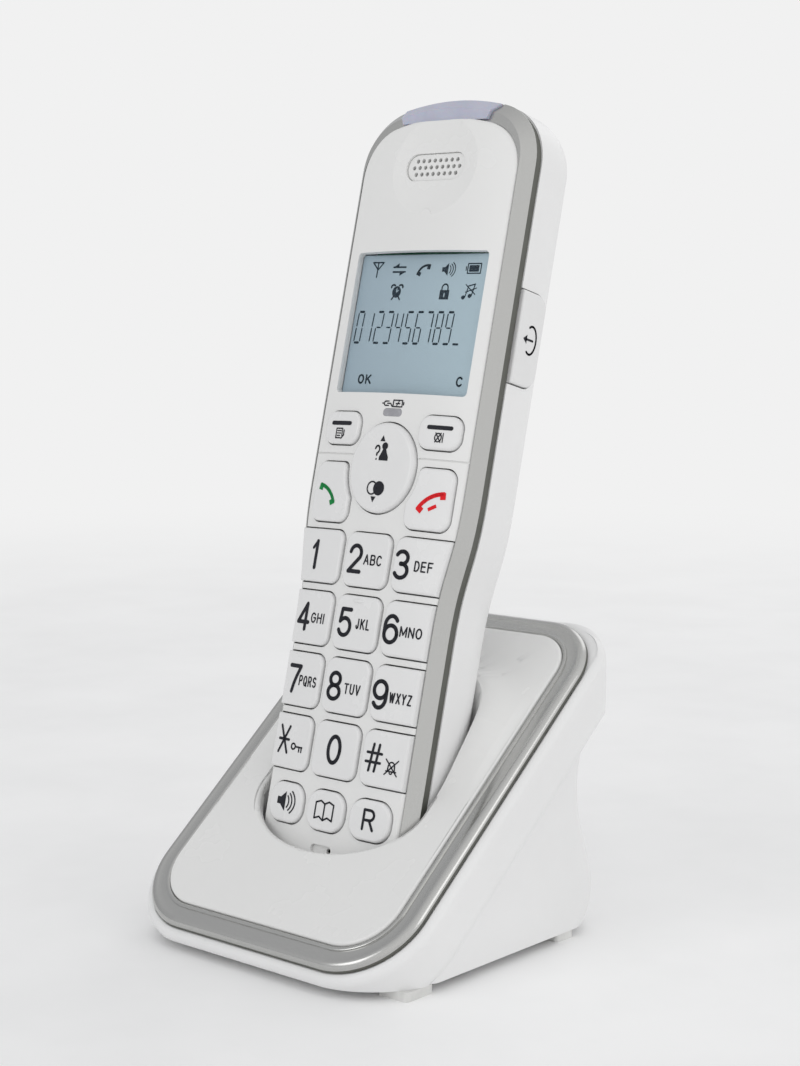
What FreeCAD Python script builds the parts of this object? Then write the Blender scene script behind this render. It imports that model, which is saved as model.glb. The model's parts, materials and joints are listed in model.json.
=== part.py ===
import FreeCAD, Part
import math
import os

# Cordless phone standing in its charging base. Millimetres, +Z up, front towards -Y.
# Handset pieces are drawn upright in a handset frame: x across, z along its length from its
# bottom end, y back from the plane of its front edges. Cover pieces are drawn in a cover frame:
# x across, y up the slope, z out of the slope.

# Handset, outside
handset_length = 178.0
handset_tilt = 14.2           # leans back from upright
face_half_upper = 22.5        # white face, upper part
face_half_lower = 19.7        # white face, narrower grip part
waist_low = 56.0              # the face widens between these two heights
waist_high = 88.5
face_crown = 1.9              # how far the face bulges at its centre line
face_edge_round = 0.8
trim_width = 2.8              # silver frame, slopes at 45 degrees round the face
trim_depth = 2.8
trim_top = 5.2                # it is wider across the top edge
seam_depth = 2.2              # dark band behind the silver frame
seam_inset = 0.3
shell_depth = 15.4            # white back shell behind the dark band
shell_round = 9.0             # back edges
top_corner = 11.5
top_arch = 62.0               # radius of the gently arched top and bottom edges
bottom_corner = 8.0
face_wall = 1.6
shell_wall = 1.7
fit_gap = 0.12                # between pieces that move past each other
seat_gap = 0.05               # between pieces that are fixed together

# Keys
key_gap = 0.32
key_proud = 0.9
key_travel = 0.7
key_seat = 2.1                # depth of the underside of the key caps
key_corner = 2.4
key_edge_round = 0.6
digit_height = 12.1
digit_pitch = 14.1
digit_first = 71.8            # centre height of the 1 2 3 row
digit_half_centre = 6.45
digit_web = 0.7               # shell left between keys of one row
bottom_key_width = 10.8
bottom_key_height = 8.8
bottom_key_pitch = 12.4
bottom_key_centre = 16.1
bottom_key_corner = 3.6
nav_width = 18.6
nav_height = 20.4
nav_centre = 92.6
nav_proud = 1.2
nav_edge_round = 1.0
call_key_width = 11.9
call_key_height = 13.7
call_key_corner = 2.6
call_key_inner_corner = 1.6
call_key_x = 14.3
call_key_z = 86.5
soft_key_width = 11.1
soft_key_height = 7.5
soft_key_corner = 2.8
soft_key_x = 14.3
soft_key_z = 101.2

# Display, earpiece, lamps
display_half = 19.1
display_low = 109.6
display_high = 142.1
display_corner = 1.0
lcd_margin = 0.1
lens_thickness = 1.1
led_half = 2.7
led_height = 1.7
led_z = 105.2
grille_z = 161.7
grille_width = 17.1
grille_height = 6.3
dish_half_width = 17.0
dish_half_height = 11.5
dish_depth = 1.1
dish_ball_depth = 12.0        # short half axis of the ball that scoops the dish
mic_z = 7.6
mic_slot_width = 6.1
mic_slot_height = 2.0
mic_hole_x = 1.6
mic_hole_radius = 0.6
ringer_z = 146.0              # loudspeaker in the back
ringer_radius = 10.0
ringer_holes = 5
ringer_hole_pitch = 2.6
ringer_hole_radius = 0.7
grille_hole_radius = 0.5
grille_hole_pitch = 1.65
grille_row_pitch = 1.55
groove_z = 95.3               # fine groove each side of the nav rocker
groove_inner = 9.6
groove_width = 0.4
groove_depth = 0.3
window_half_low = 12.2        # ringing light at the top edge
window_half_high = 14.6
window_drop = 0.6             # it reaches this far down into the white face

# Inside the handset
mat_thickness = 0.8
board_thickness = 1.2
cell_radius = 5.2
cell_length = 44.5
cell_low = 73.0
tray_wall = 1.0
door_thickness = 1.5
door_low = 68.4
door_high = 124.0
door_half = 17.5
door_corner = 3.0
side_key_low = 114.3
side_key_high = 135.0
side_key_depth = 8.6
side_key_proud = 0.7
charge_plate_x = 9.0
charge_plate_width = 5.0
charge_plate_depth = 4.0
charge_plate_y = 11.0
charge_plate_thickness = 0.5
board_bottom = 9.0
board_top = 168.0
board_screws = [(-6.2, 21.9), (6.2, 21.9), (0.0, 150.0)]
board_shank = 1.0
board_head = 1.9
board_boss = 1.7

# Base
cover_slope = 38.9
cover_rise = 2.05             # height of the slope's plane above the table at its origin
rim_half = 38.3
rim_front = 4.5
rim_back = 103.6
rim_corner_front = 17.0
rim_corner_back = 15.0
rim_width = 5.3
rim_height = 2.3
rim_round = 1.6
cover_proud = 0.4
cover_thickness = 2.2
cover_edge_round = 0.6
body_bulge = 2.2              # the body swells this far beyond the rim
band_depth = 12.6             # upper band of the body, square to the slope
band_round = 3.6
band_rear = 82.7              # rear of the band, which stands upright there
band_corner = 12.0
band_root = 4.0               # the lower body runs up into the band, to this depth
body_wall = 2.0
pedestal_half = 38.6
pedestal_corner = 11.0
pedestal_front = 18.0
pedestal_back = [(75.5, 0.0), (79.2, 18.0), (75.4, 33.0), (79.0, 48.0), (80.0, 60.0)]
floor_gap = 2.0               # the underside stands this far above the table
plate_thickness = 2.0
foot_width = 8.0
foot_front = (11.2, 19.8)     # along the base, front pair
foot_rear = (62.1, 68.1)      # rear pair
well_gap = 0.8                # free space round the handset in the base
well_wall = 1.6
mouth_half = 23.5             # rounded front of the opening in the cover
mouth_front = 29.9
mouth_side = 43.0
mouth_depth = 10.0
handset_front = 26.2          # bottom of the face, from the slope's origin
handset_up = 13.8             # the same point above the table
contact_width = 2.6
contact_thickness = 0.4
contact_root = (4.2, -6.0)    # in the handset frame: y and z of the fixed end, bend and tip
contact_bend = (5.6, -6.0)
contact_tip = (11.0, 0.62)
contact_end = (12.6, -1.4)
block_half = 13.0
block_front = 1.0
block_height = 3.4
board_low = 6.0
base_board_half = 26.0
base_board_front = 51.5
base_board_rear = 72.0
post_radius = 2.0
inlet_width = 9.2
inlet_height = 7.4
inlet_depth = 11.0
inlet_recess = 1.2            # the mouth lies this far inside the rear wall
socket_width = 6.2
socket_height = 4.6
socket_depth = 8.0
screw_head = 2.2
screw_shank = 1.2
boss_radius = 3.4
boss_top = 14.0
boss_x = 33.6
boss_y = (30.0, 60.0)

# Worked out from the sizes above
seam_front = trim_depth
shell_front = trim_depth + seam_depth
handset_depth = shell_front + shell_depth
face_bottom = trim_width
face_top = handset_length - trim_top
top_rise = trim_top / trim_width
crown_radius = (face_half_upper ** 2 + face_crown ** 2) / (2 * face_crown)
mat_front = key_seat + key_travel + fit_gap
board_front = mat_front + mat_thickness + seat_gap
board_back = board_front + board_thickness
far = 2 * handset_length      # reach of blanks that run past everything
ahead = -10.0                # plane well in front of the handset's face
blank_front = -6.0           # plane where a key blank starts before the crown trims it
wedge_lap = 0.4              # depth by which the edge wedge stops short of the rear shell
mic_slot_corner = 0.9
mic_slot_depth = 0.9
soft_clearance = 0.5         # round the lamp, through the rubber mat
loose_fit = 0.2              # round a screw boss or a screw shank
tip_radius = 1.9             # metal end of a cell
plate_half = 3.6             # contact plate of a cell
buzzer_height = 4.6
buzzer_magnet_height = 8.0
mic_radius = 2.6
receiver_radius = 7.0
step_edge = 0.01             # tolerance for picking edges by their height


def vec(x, y, z):
    return FreeCAD.Vector(x, y, z)


def box(x0, x1, y0, y1, z0, z1):
    """Axis-aligned block between the given limits."""
    return Part.makeBox(x1 - x0, y1 - y0, z1 - z0, vec(x0, y0, z0))


def rod(radius, start, end):
    """Round bar between two points."""
    run = end.sub(start)
    return Part.makeCylinder(radius, run.Length, start, run)


def mirror_x(shape):
    return shape.mirror(vec(0, 0, 0), vec(1, 0, 0))


def fuse_all(shapes):
    """One solid from pieces that overlap."""
    return shapes[0].multiFuse(shapes[1:]).removeSplitter()


def in_handset(shape):
    """Moves a piece from the handset frame to its place in the base."""
    placed = shape.copy()
    placed.rotate(vec(0, 0, 0), vec(1, 0, 0), -handset_tilt)
    placed.translate(vec(0, handset_front, handset_up))
    return placed


def in_cover(shape):
    """Moves a piece from the cover frame to its place on the base."""
    placed = shape.copy()
    placed.rotate(vec(0, 0, 0), vec(1, 0, 0), cover_slope)
    placed.translate(vec(0, 0, cover_rise))
    return placed


# ---- outlines and blanks ----

def blended_end(half, corner, arch, tip, up):
    """Half of a gently arched end: corner centre, corner end and middle point, for x >= 0."""
    sign = 1 if up else -1
    arch_z = tip - sign * arch
    reach = math.sqrt((arch - corner) ** 2 - (half - corner) ** 2)
    corner_z = arch_z + sign * reach
    scale = arch / (arch - corner)
    join = vec((half - corner) * scale, 0, arch_z + sign * reach * scale)
    turn = math.atan2(reach, half - corner) / 2
    middle = vec(half - corner + corner * math.cos(turn), 0, corner_z + sign * corner * math.sin(turn))
    return corner_z, join, middle


def handset_face(grow):
    """Flat outline of the handset at y = 0, grown outwards from the white face."""
    upper = face_half_upper + grow
    lower = face_half_lower + grow
    high = face_top + grow * top_rise
    top_z, top_join, top_mid = blended_end(upper, top_corner + grow, top_arch, high, True)
    low_z, low_join, low_mid = blended_end(lower, bottom_corner + grow, top_arch, face_bottom - grow, False)
    bend = (waist_high - waist_low) / 2
    sway = Part.BezierCurve()
    sway.setPoles([
        vec(lower, 0, waist_low),
        vec(lower, 0, waist_low + bend),
        vec(upper, 0, waist_high - bend),
        vec(upper, 0, waist_high),
    ])
    right = [
        Part.Arc(low_join, low_mid, vec(lower, 0, low_z)).toShape(),
        Part.LineSegment(vec(lower, 0, low_z), vec(lower, 0, waist_low)).toShape(),
        sway.toShape(),
        Part.LineSegment(vec(upper, 0, waist_high), vec(upper, 0, top_z)).toShape(),
        Part.Arc(vec(upper, 0, top_z), top_mid, top_join).toShape(),
    ]
    left = [mirror_x(edge) for edge in right]
    top_left = vec(-top_join.x, 0, top_join.z)
    low_left = vec(-low_join.x, 0, low_join.z)
    ends = [
        Part.Arc(top_join, vec(0, 0, face_top + grow * top_rise), top_left).toShape(),
        Part.Arc(low_join, vec(0, 0, face_bottom - grow), low_left).toShape(),
    ]
    loop = Part.Wire(Part.__sortEdges__(right + left + ends))
    return Part.Face(loop)


def handset_prism(grow, front, back):
    """Handset outline, grown by the given amount, between two depths."""
    blank = handset_face(grow)
    blank.translate(vec(0, front, 0))
    return blank.extrude(vec(0, back - front, 0))


def crown(proud):
    """Large cylinder whose front is the crowned face, pushed forward by the given amount."""
    axis_y = crown_radius - face_crown
    return Part.makeCylinder(crown_radius + proud, 2 * far, vec(0, axis_y, -far), vec(0, 0, 1))


def rounded_plan(half_x, half_z, corner, x, z, front, back):
    """Rounded rectangle centred on (x, z), between two depths."""
    block = box(x - half_x, x + half_x, front, back, z - half_z, z + half_z)
    upright = [edge for edge in block.Edges if abs(edge.tangentAt(edge.FirstParameter).y) > 0.9]
    return block.makeFillet(corner, upright)


def oval_plan(half_x, half_z, x, z, front, back):
    """Ellipse centred on (x, z), between two depths."""
    across = max(half_x, half_z)
    along = min(half_x, half_z)
    curve = Part.Ellipse(vec(0, 0, 0), across, along)
    disc = Part.Face(Part.Wire(curve.toShape()))
    disc.rotate(vec(0, 0, 0), vec(1, 0, 0), 90)
    if half_z > half_x:
        disc.rotate(vec(0, 0, 0), vec(0, 1, 0), 90)
    disc.translate(vec(x, front, z))
    return disc.extrude(vec(0, back - front, 0))


def front_edges(shape, depth_limit):
    """Edges that lie wholly in front of a depth."""
    return [edge for edge in shape.Edges if edge.BoundBox.YMax < depth_limit]


# ---- key outlines ----

def digit_row_z(row):
    return digit_first - row * digit_pitch


def digit_blank(column, row, grow, front, back):
    """Digit key plan: the outer columns run out past the face edge."""
    z = digit_row_z(row)
    half_z = digit_height / 2 + grow
    inner = digit_half_centre + digit_web + 2 * key_gap
    if column == 0:
        return rounded_plan(digit_half_centre + grow, half_z, key_corner + grow, 0, z, front, back)
    reach = face_half_upper + key_corner
    near = inner - grow
    blank = rounded_plan((reach + key_corner - near) / 2, half_z, key_corner + grow,
                         (reach + key_corner + near) / 2, z, front, back)
    return blank if column > 0 else mirror_x(blank)


def bottom_key_blank(column, grow, front, back):
    return rounded_plan(bottom_key_width / 2 + grow, bottom_key_height / 2 + grow, bottom_key_corner + grow,
                        column * bottom_key_pitch, bottom_key_centre, front, back)


def nav_blank(grow, front, back):
    return oval_plan(nav_width / 2 + grow, nav_height / 2 + grow, 0, nav_centre, front, back)


def call_key_blank(side, grow, front, back):
    """Call or end key: rounded block with the nav rocker's oval taken out of its inner side."""
    blank = rounded_plan(call_key_width / 2 + grow, call_key_height / 2 + grow, call_key_corner + grow,
                         side * call_key_x, call_key_z, front, back)
    margin = key_gap * 2 + digit_web - grow
    blank = blank.cut(nav_blank(margin, front - 1, back + 1))
    sharp = []
    for edge in blank.Edges:
        middle = edge.valueAt((edge.FirstParameter + edge.LastParameter) / 2)
        reach = math.hypot(middle.x / (nav_width / 2 + margin),
                           (middle.z - nav_centre) / (nav_height / 2 + margin))
        if abs(edge.tangentAt(edge.FirstParameter).y) > 0.9 and abs(reach - 1) < 0.001:
            sharp.append(edge)
    return blank.makeFillet(call_key_inner_corner, sharp)


def soft_key_blank(side, grow, front, back):
    blank = rounded_plan(soft_key_width / 2 + grow, soft_key_height / 2 + grow, soft_key_corner + grow,
                         side * soft_key_x, soft_key_z, front, back)
    return blank.cut(nav_blank(key_gap * 2 + digit_web - grow, front - 1, back + 1))


def key_cap(blank, proud):
    """Key cap: a blank trimmed to the face's outline and crown, with softened front edges."""
    cap = blank.common(crown(proud)).common(handset_prism(-fit_gap, -face_crown - 3, key_seat + 1))
    rim = front_edges(cap, key_seat - 0.3)
    return cap.makeFillet(key_edge_round, rim)


def every_key():
    """Name, plan function and arguments of every key that slides straight in."""
    names = {
        "key_1": (-1, 0), "key_2": (0, 0), "key_3": (1, 0),
        "key_4": (-1, 1), "key_5": (0, 1), "key_6": (1, 1),
        "key_7": (-1, 2), "key_8": (0, 2), "key_9": (1, 2),
        "key_star": (-1, 3), "key_0": (0, 3), "key_hash": (1, 3),
    }
    keys = {name: (digit_blank, place) for name, place in names.items()}
    keys["speaker_key"] = (bottom_key_blank, (-1,))
    keys["phonebook_key"] = (bottom_key_blank, (0,))
    keys["recall_key"] = (bottom_key_blank, (1,))
    keys["call_key"] = (call_key_blank, (-1,))
    keys["end_key"] = (call_key_blank, (1,))
    keys["soft_key_left"] = (soft_key_blank, (-1,))
    keys["soft_key_right"] = (soft_key_blank, (1,))
    return keys


# ---- handset pieces ----

def display_opening(grow, front, back):
    return rounded_plan(display_half + grow, (display_high - display_low) / 2 + grow, display_corner + grow,
                        0, (display_high + display_low) / 2, front, back)


def earpiece_dish():
    """Flattened ball that scoops the shallow dish round the earpiece."""
    ball = Part.makeSphere(1.0)
    spread = math.sqrt(1 - (1 - dish_depth / dish_ball_depth) ** 2)
    stretch = FreeCAD.Matrix()
    stretch.scale(dish_half_width / spread, dish_ball_depth, dish_half_height / spread)
    scoop = ball.transformGeometry(stretch)
    scoop.translate(vec(0, dish_depth - face_crown - dish_ball_depth, grille_z))
    return scoop


def grille_plan(grow, front, back):
    half_z = grille_height / 2 + grow
    return rounded_plan(grille_width / 2 + grow, half_z, half_z - 0.05, 0, grille_z, front, back)


def window_cutter(grow):
    """Wedge through the top edge that the ringing light fills."""
    low = face_top - window_drop - grow
    high = handset_length + 5
    slope = (window_half_high - window_half_low) / (trim_top + window_drop)
    half_low = window_half_low + grow
    half_high = half_low + slope * (high - low)
    corners = [(-half_low, low), (half_low, low), (half_high, high), (-half_high, high)]
    points = [vec(x, ahead, z) for x, z in corners]
    wedge = Part.Face(Part.makePolygon(points + points[:1]))
    return wedge.extrude(vec(0, shell_front - ahead - wedge_lap + grow, 0))


def handset_front_shell():
    skin = handset_prism(0, -face_crown - 2, board_front).common(crown(0))
    skin = skin.makeFillet(face_edge_round, front_edges(skin, 0.6))
    hollow = handset_prism(-face_wall, -face_crown - 3, board_front + 1).common(crown(-face_wall))
    shell = skin.cut(hollow)
    shell = shell.cut(earpiece_dish())
    collar_back = face_wall + dish_depth - face_crown
    seat = grille_plan(1.2, -0.6, collar_back + 0.6).cut(earpiece_dish())
    bosses = [rod(board_boss, vec(x, -face_crown, z), vec(x, board_front - seat_gap, z))
              for x, z in board_screws]
    shell = shell.multiFuse([seat] + [boss.common(skin) for boss in bosses])
    cuts = [plan(*place, key_gap, ahead, mat_front) for plan, place in every_key().values()]
    cuts.append(nav_blank(key_gap, ahead, mat_front))
    cuts.append(display_opening(seat_gap, ahead, mat_front))
    cuts.append(rounded_plan(led_half + seat_gap, led_height / 2 + seat_gap, 0.8, 0, led_z, ahead, mat_front))
    cuts.append(grille_plan(seat_gap, ahead, mat_front))
    cuts.append(rounded_plan(mic_slot_width / 2, mic_slot_height / 2, mic_slot_corner, 0, mic_z,
                             ahead, -face_crown + mic_slot_depth))
    cuts.append(rod(mic_hole_radius, vec(mic_hole_x, ahead, mic_z), vec(mic_hole_x, 3, mic_z)))
    cuts.append(window_cutter(seat_gap))
    shallow = crown(0).cut(crown(-groove_depth))
    for side in (-1, 1):
        line = box(groove_inner, far, ahead, -ahead, groove_z - groove_width / 2, groove_z + groove_width / 2)
        cuts.append((line if side > 0 else mirror_x(line)).common(shallow))
    cuts += [rod(board_shank + seat_gap, vec(x, 0.2, z), vec(x, far, z)) for x, z in board_screws]
    for cut in cuts:
        shell = shell.cut(cut)
    return shell


def handset_trim_frame():
    """Silver frame, sloping back at 45 degrees from the white face."""
    blank = handset_prism(trim_width, 0.15, seam_front)
    rim = front_edges(blank, 0.3)
    blank = blank.makeChamfer(trim_depth - 0.25, rim)
    ring = blank.cut(handset_prism(seat_gap, -1, seam_front + 1))
    return ring.cut(window_cutter(seat_gap))


def handset_seam_band():
    ring = handset_prism(trim_width - seam_inset, seam_front + seat_gap, shell_front - seat_gap)
    ring = ring.cut(handset_prism(seat_gap, 0, shell_front + 1))
    return ring.cut(window_cutter(seat_gap))


def ring_light_window():
    """Frosted light bar let into the top edge."""
    outer = handset_prism(trim_width - 0.1, -0.7, shell_front)
    outer = outer.makeChamfer(2.5, front_edges(outer, -0.6))
    return outer.cut(handset_prism(-1.2, -10, shell_front + 1)).common(window_cutter(0))


def shell_blank(inset, front, back):
    """Back shell's outside, or its inside when inset."""
    block = handset_prism(trim_width - inset, front, back)
    edges = [edge for edge in block.Edges if edge.BoundBox.YMin > back - 0.1]
    return block.makeFillet(shell_round - inset, edges)


def door_plan(grow, front, back):
    return rounded_plan(door_half + grow, (door_high - door_low) / 2 + grow, door_corner,
                        0, (door_high + door_low) / 2, front, back)


def cell_tray_box(grow, front, back):
    """Space for the two cells."""
    reach = 2 * cell_radius + 0.4 + grow
    return box(-reach, reach, front, back, cell_low - 2.0 - grow, cell_low + cell_length + 2.0 + grow)


def side_key_plan(grow, out, into):
    """Side key blank on the right flank, between two x limits."""
    block = box(into, out, shell_front + 0.3 - grow, shell_front + 0.3 + side_key_depth + grow,
                side_key_low - grow, side_key_high + grow)
    rear = [edge for edge in block.Edges
            if abs(edge.tangentAt(edge.FirstParameter).x) > 0.9 and edge.BoundBox.YMin > shell_front + 4]
    return block.makeFillet(3.4 + grow, rear)


def handset_back_shell():
    outside = shell_blank(0, shell_front, handset_depth)
    inside = shell_blank(shell_wall, shell_front - 1, handset_depth - shell_wall)
    shell = outside.cut(inside)
    step_depth = handset_depth - door_thickness - 0.1
    lower_back = box(-door_half - 0.2, door_half + 0.2, step_depth, far, 10.0,
                     door_low + door_corner + 1)
    tray_front = handset_depth - door_thickness - 2 * cell_radius - 2.3
    tray = cell_tray_box(tray_wall, tray_front - tray_wall, handset_depth - 0.5)
    lining = box(-door_half - 1.5, door_half + 1.5, step_depth - shell_wall, step_depth,
                 8.6, door_high + 1.4)
    shell = fuse_all([shell, lining.common(outside), tray.common(outside)])
    cuts = [
        lower_back,
        door_plan(0.15, step_depth, far),
        cell_tray_box(0, tray_front, far),
        side_key_plan(key_gap, far, shell_front + 8),
    ]
    for index in range(ringer_holes):
        x = (index - (ringer_holes - 1) / 2) * ringer_hole_pitch
        cuts.append(rod(ringer_hole_radius, vec(x, 5, ringer_z), vec(x, far, ringer_z)))
    for side in (-1, 1):
        cuts.append(box(side * charge_plate_x - charge_plate_width / 2,
                        side * charge_plate_x + charge_plate_width / 2,
                        charge_plate_y - charge_plate_depth / 2, charge_plate_y + charge_plate_depth / 2,
                        -1, shell_wall + 1.5))
    for cut in cuts:
        shell = shell.cut(cut)
    return shell


def handset_battery_door():
    outside = shell_blank(0, shell_front, handset_depth)
    return outside.common(door_plan(0, handset_depth - door_thickness, far))


def side_key():
    """Volume key; its outer face follows the flank."""
    flank = handset_prism(trim_width + side_key_proud, shell_front, handset_depth)
    cap = flank.common(side_key_plan(0, far, face_half_upper + trim_width - shell_wall - 0.6))
    rim = face_half_upper + trim_width + side_key_proud - 0.1
    outer = [edge for edge in cap.Edges if edge.BoundBox.XMin > rim]
    return cap.makeFillet(0.5, outer)


def display_lens():
    return display_opening(0, 0.0, lens_thickness)


def lcd_module():
    half = display_half - lcd_margin
    return box(-half, half, lens_thickness + seat_gap, board_front - seat_gap,
               display_low + lcd_margin, display_high - lcd_margin)


def charge_led_lens():
    blank = rounded_plan(led_half, led_height / 2, 0.7, 0, led_z, -5, mat_front - 0.4)
    return blank.common(crown(-0.05))


def nav_rocker():
    cap = nav_blank(0, blank_front, key_seat).common(crown(nav_proud))
    return cap.makeFillet(nav_edge_round, front_edges(cap, key_seat - 0.3))


def earpiece_grille():
    front = dish_depth - face_crown + 0.25
    plate = grille_plan(0, front, front + 1.4)
    plate = plate.makeFillet(0.3, front_edges(plate, front + 0.2))
    for row, count in ((-1, 8), (0, 9), (1, 8)):
        for index in range(count):
            x = (index - (count - 1) / 2) * grille_hole_pitch
            z = grille_z + row * grille_row_pitch
            plate = plate.cut(rod(grille_hole_radius, vec(x, -5, z), vec(x, 5, z)))
    return plate


def earpiece_receiver():
    front = dish_depth - face_crown + 0.25 + 1.4 + 0.9
    return rod(receiver_radius, vec(0, front, grille_z), vec(0, board_front - seat_gap, grille_z))


def keypad_mat():
    """Silicone mat under the keys, with a window for the lamp's light guide."""
    half = face_half_lower - face_wall - 0.5
    mat = box(-half, half, mat_front, mat_front + mat_thickness, 10.0, soft_key_z + 6)
    mat = mat.cut(rounded_plan(led_half + soft_clearance, led_height / 2 + soft_clearance, 0.8, 0, led_z,
                               mat_front - 1, mat_front + 2))
    for x, z in board_screws:
        mat = mat.cut(rod(board_boss + loose_fit, vec(x, 0, z), vec(x, far, z)))
    return mat


def handset_board():
    half = face_half_lower - face_wall - 0.6
    board = box(-half, half, board_front, board_back, board_bottom, board_top)
    for x, z in board_screws:
        board = board.cut(rod(board_shank + loose_fit, vec(x, 0, z), vec(x, far, z)))
    return board


def microphone():
    return rod(mic_radius, vec(mic_hole_x, 0.4, mic_z + 0.3), vec(mic_hole_x, 2.4, mic_z + 0.3))


def battery_cell(side):
    """AAA cell with its raised end; the two cells lie head to tail."""
    y = handset_depth - door_thickness - cell_radius - 0.5
    x = side * (cell_radius + 0.15)
    low = cell_low
    nub = 0.9
    body = rod(cell_radius, vec(x, y, low + (nub if side < 0 else 0)),
               vec(x, y, low + cell_length - (nub if side > 0 else 0)))
    if side > 0:
        tip = rod(tip_radius, vec(x, y, low + cell_length - nub - 0.1), vec(x, y, low + cell_length))
    else:
        tip = rod(tip_radius, vec(x, y, low), vec(x, y, low + nub + 0.1))
    return body.fuse(tip).removeSplitter()


def battery_contacts():
    """Pressed contact plates at both ends of the cell tray."""
    y = handset_depth - door_thickness - cell_radius - 0.5
    plates = []
    for side in (-1, 1):
        x = side * (cell_radius + 0.15)
        for z, step in ((cell_low - 2.0, 1), (cell_low + cell_length + 2.0, -1)):
            z0, z1 = sorted((z + step * seat_gap, z + step * 0.4))
            plate = box(x - plate_half, x + plate_half, y - 4, y + 3.5, z0, z1)
            spring = rod(1.6, vec(x, y, z + step * 0.3), vec(x, y, z + step * 1.95))
            plates.append(plate.fuse(spring).removeSplitter())
    return Part.makeCompound(plates)


def ringer_loudspeaker():
    back = handset_depth - shell_wall - seat_gap
    frame = rod(ringer_radius, vec(0, back - buzzer_height, ringer_z), vec(0, back, ringer_z))
    magnet = rod(ringer_radius / 2, vec(0, back - buzzer_magnet_height, ringer_z),
                 vec(0, back - buzzer_height + 0.1, ringer_z))
    return magnet.fuse(frame).removeSplitter()


def charge_plates():
    """Two plated strips in the handset's bottom end."""
    plates = []
    for side in (-1, 1):
        x = side * charge_plate_x
        half = charge_plate_width / 2 - seat_gap
        tip = box(x - half, x + half, charge_plate_y - charge_plate_depth / 2 + seat_gap,
                  charge_plate_y + charge_plate_depth / 2 - seat_gap, 0.9, 0.9 + charge_plate_thickness)
        stem = box(x - half, x + half, charge_plate_y + charge_plate_depth / 2 - charge_plate_thickness,
                   charge_plate_y + charge_plate_depth / 2 - seat_gap, 1.0, 3.1)
        plates.append(tip.fuse(stem).removeSplitter())
    return Part.makeCompound(plates)


def handset_screws():
    """Small screws that hold the board to bosses on the front shell."""
    screws = []
    for x, z in board_screws:
        head = rod(board_head, vec(x, board_back + seat_gap, z), vec(x, board_back + 1.0, z))
        shank = rod(board_shank, vec(x, 0.8, z), vec(x, board_back + 0.2, z))
        screws.append(head.fuse(shank).removeSplitter())
    return Part.makeCompound(screws)


# ---- base ----

def slope_plan(half, front, back, corner_front, corner_back, low, high):
    """Rounded plan in the cover frame, between two heights."""
    block = Part.makeBox(2 * half, back - front, high - low, vec(-half, front, low))
    middle = (front + back) / 2
    upright = [edge for edge in block.Edges if abs(edge.tangentAt(edge.FirstParameter).z) > 0.9]
    fore = [edge for edge in upright if edge.BoundBox.YMax < middle]
    block = block.makeFillet(corner_front, fore)
    upright = [edge for edge in block.Edges
               if abs(edge.tangentAt(edge.FirstParameter).z) > 0.9 and edge.BoundBox.YMin > back - 0.01]
    return block.makeFillet(corner_back, upright)


def rim_plan(inset, low, high):
    """Rim outline, inset from its outer edge, between two heights above the slope."""
    return slope_plan(rim_half - inset, rim_front + inset, rim_back - inset,
                      rim_corner_front - inset, rim_corner_back - inset, low, high)


def flat_loop(shape, z):
    """Edges of a cover-frame solid that lie at one height."""
    return [edge for edge in shape.Edges
            if max(abs(edge.BoundBox.ZMin - z), abs(edge.BoundBox.ZMax - z)) < step_edge]


def plan_wire(half, front, back, corner_front, corner_back, z):
    """Closed rounded outline at one height."""
    turn = math.sqrt(0.5)
    points = []
    for x_sign, y_end, corner in ((1, front, corner_front), (1, back, corner_back),
                                  (-1, back, corner_back), (-1, front, corner_front)):
        y_sign = 1 if y_end == back else -1
        centre = vec(x_sign * (half - corner), y_end - y_sign * corner, z)
        side = centre.add(vec(x_sign * corner, 0, 0))
        middle = centre.add(vec(x_sign * corner * turn, y_sign * corner * turn, 0))
        end = centre.add(vec(0, y_sign * corner, 0))
        runs_out = x_sign * y_sign < 0
        points.append((end, middle, side) if runs_out else (side, middle, end))
    edges = []
    for index, (start, middle, end) in enumerate(points):
        edges.append(Part.Arc(start, middle, end).toShape())
        edges.append(Part.LineSegment(end, points[(index + 1) % 4][0]).toShape())
    return Part.Wire(edges)


def pedestal(inset):
    """Lower body: rounded outlines joined smoothly, waisted at the rear."""
    front = pedestal_front - 2 * inset
    outlines = [plan_wire(pedestal_half - inset, front, y - inset, 3.0, pedestal_corner - inset, z)
                for y, z in pedestal_back]
    block = Part.makeLoft(outlines, True, False)
    above = Part.makeBox(2 * far, 2 * far, far, vec(-far, -far, -band_root - inset))
    return block.cut(in_cover(above))


def base_volume(inset):
    """Whole outer form of the base body, or its inside when inset."""
    grow = body_bulge - inset
    band = slope_plan(rim_half + grow, rim_front - grow, rim_back + 3 * body_bulge,
                      rim_corner_front + grow, 1.0, -band_depth + inset, 0)
    outline = plan_wire(rim_half + grow + 1, -far, band_rear - inset, 1.0, band_corner - inset, -far)
    upright = Part.Face(outline).extrude(vec(0, 0, 2 * far))
    upright.translate(vec(0, 0, -cover_rise))
    upright.rotate(vec(0, 0, 0), vec(1, 0, 0), -cover_slope)
    band = band.common(upright)
    band = band.makeFillet(band_round - inset / 2, flat_loop(band, -band_depth + inset))
    if inset == 0:
        band = band.makeFillet(body_bulge - 0.2, flat_loop(band, 0))
    form = in_cover(band).fuse(pedestal(inset))
    return form.cut(box(-far, far, -far, far, -far, floor_gap))


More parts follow.
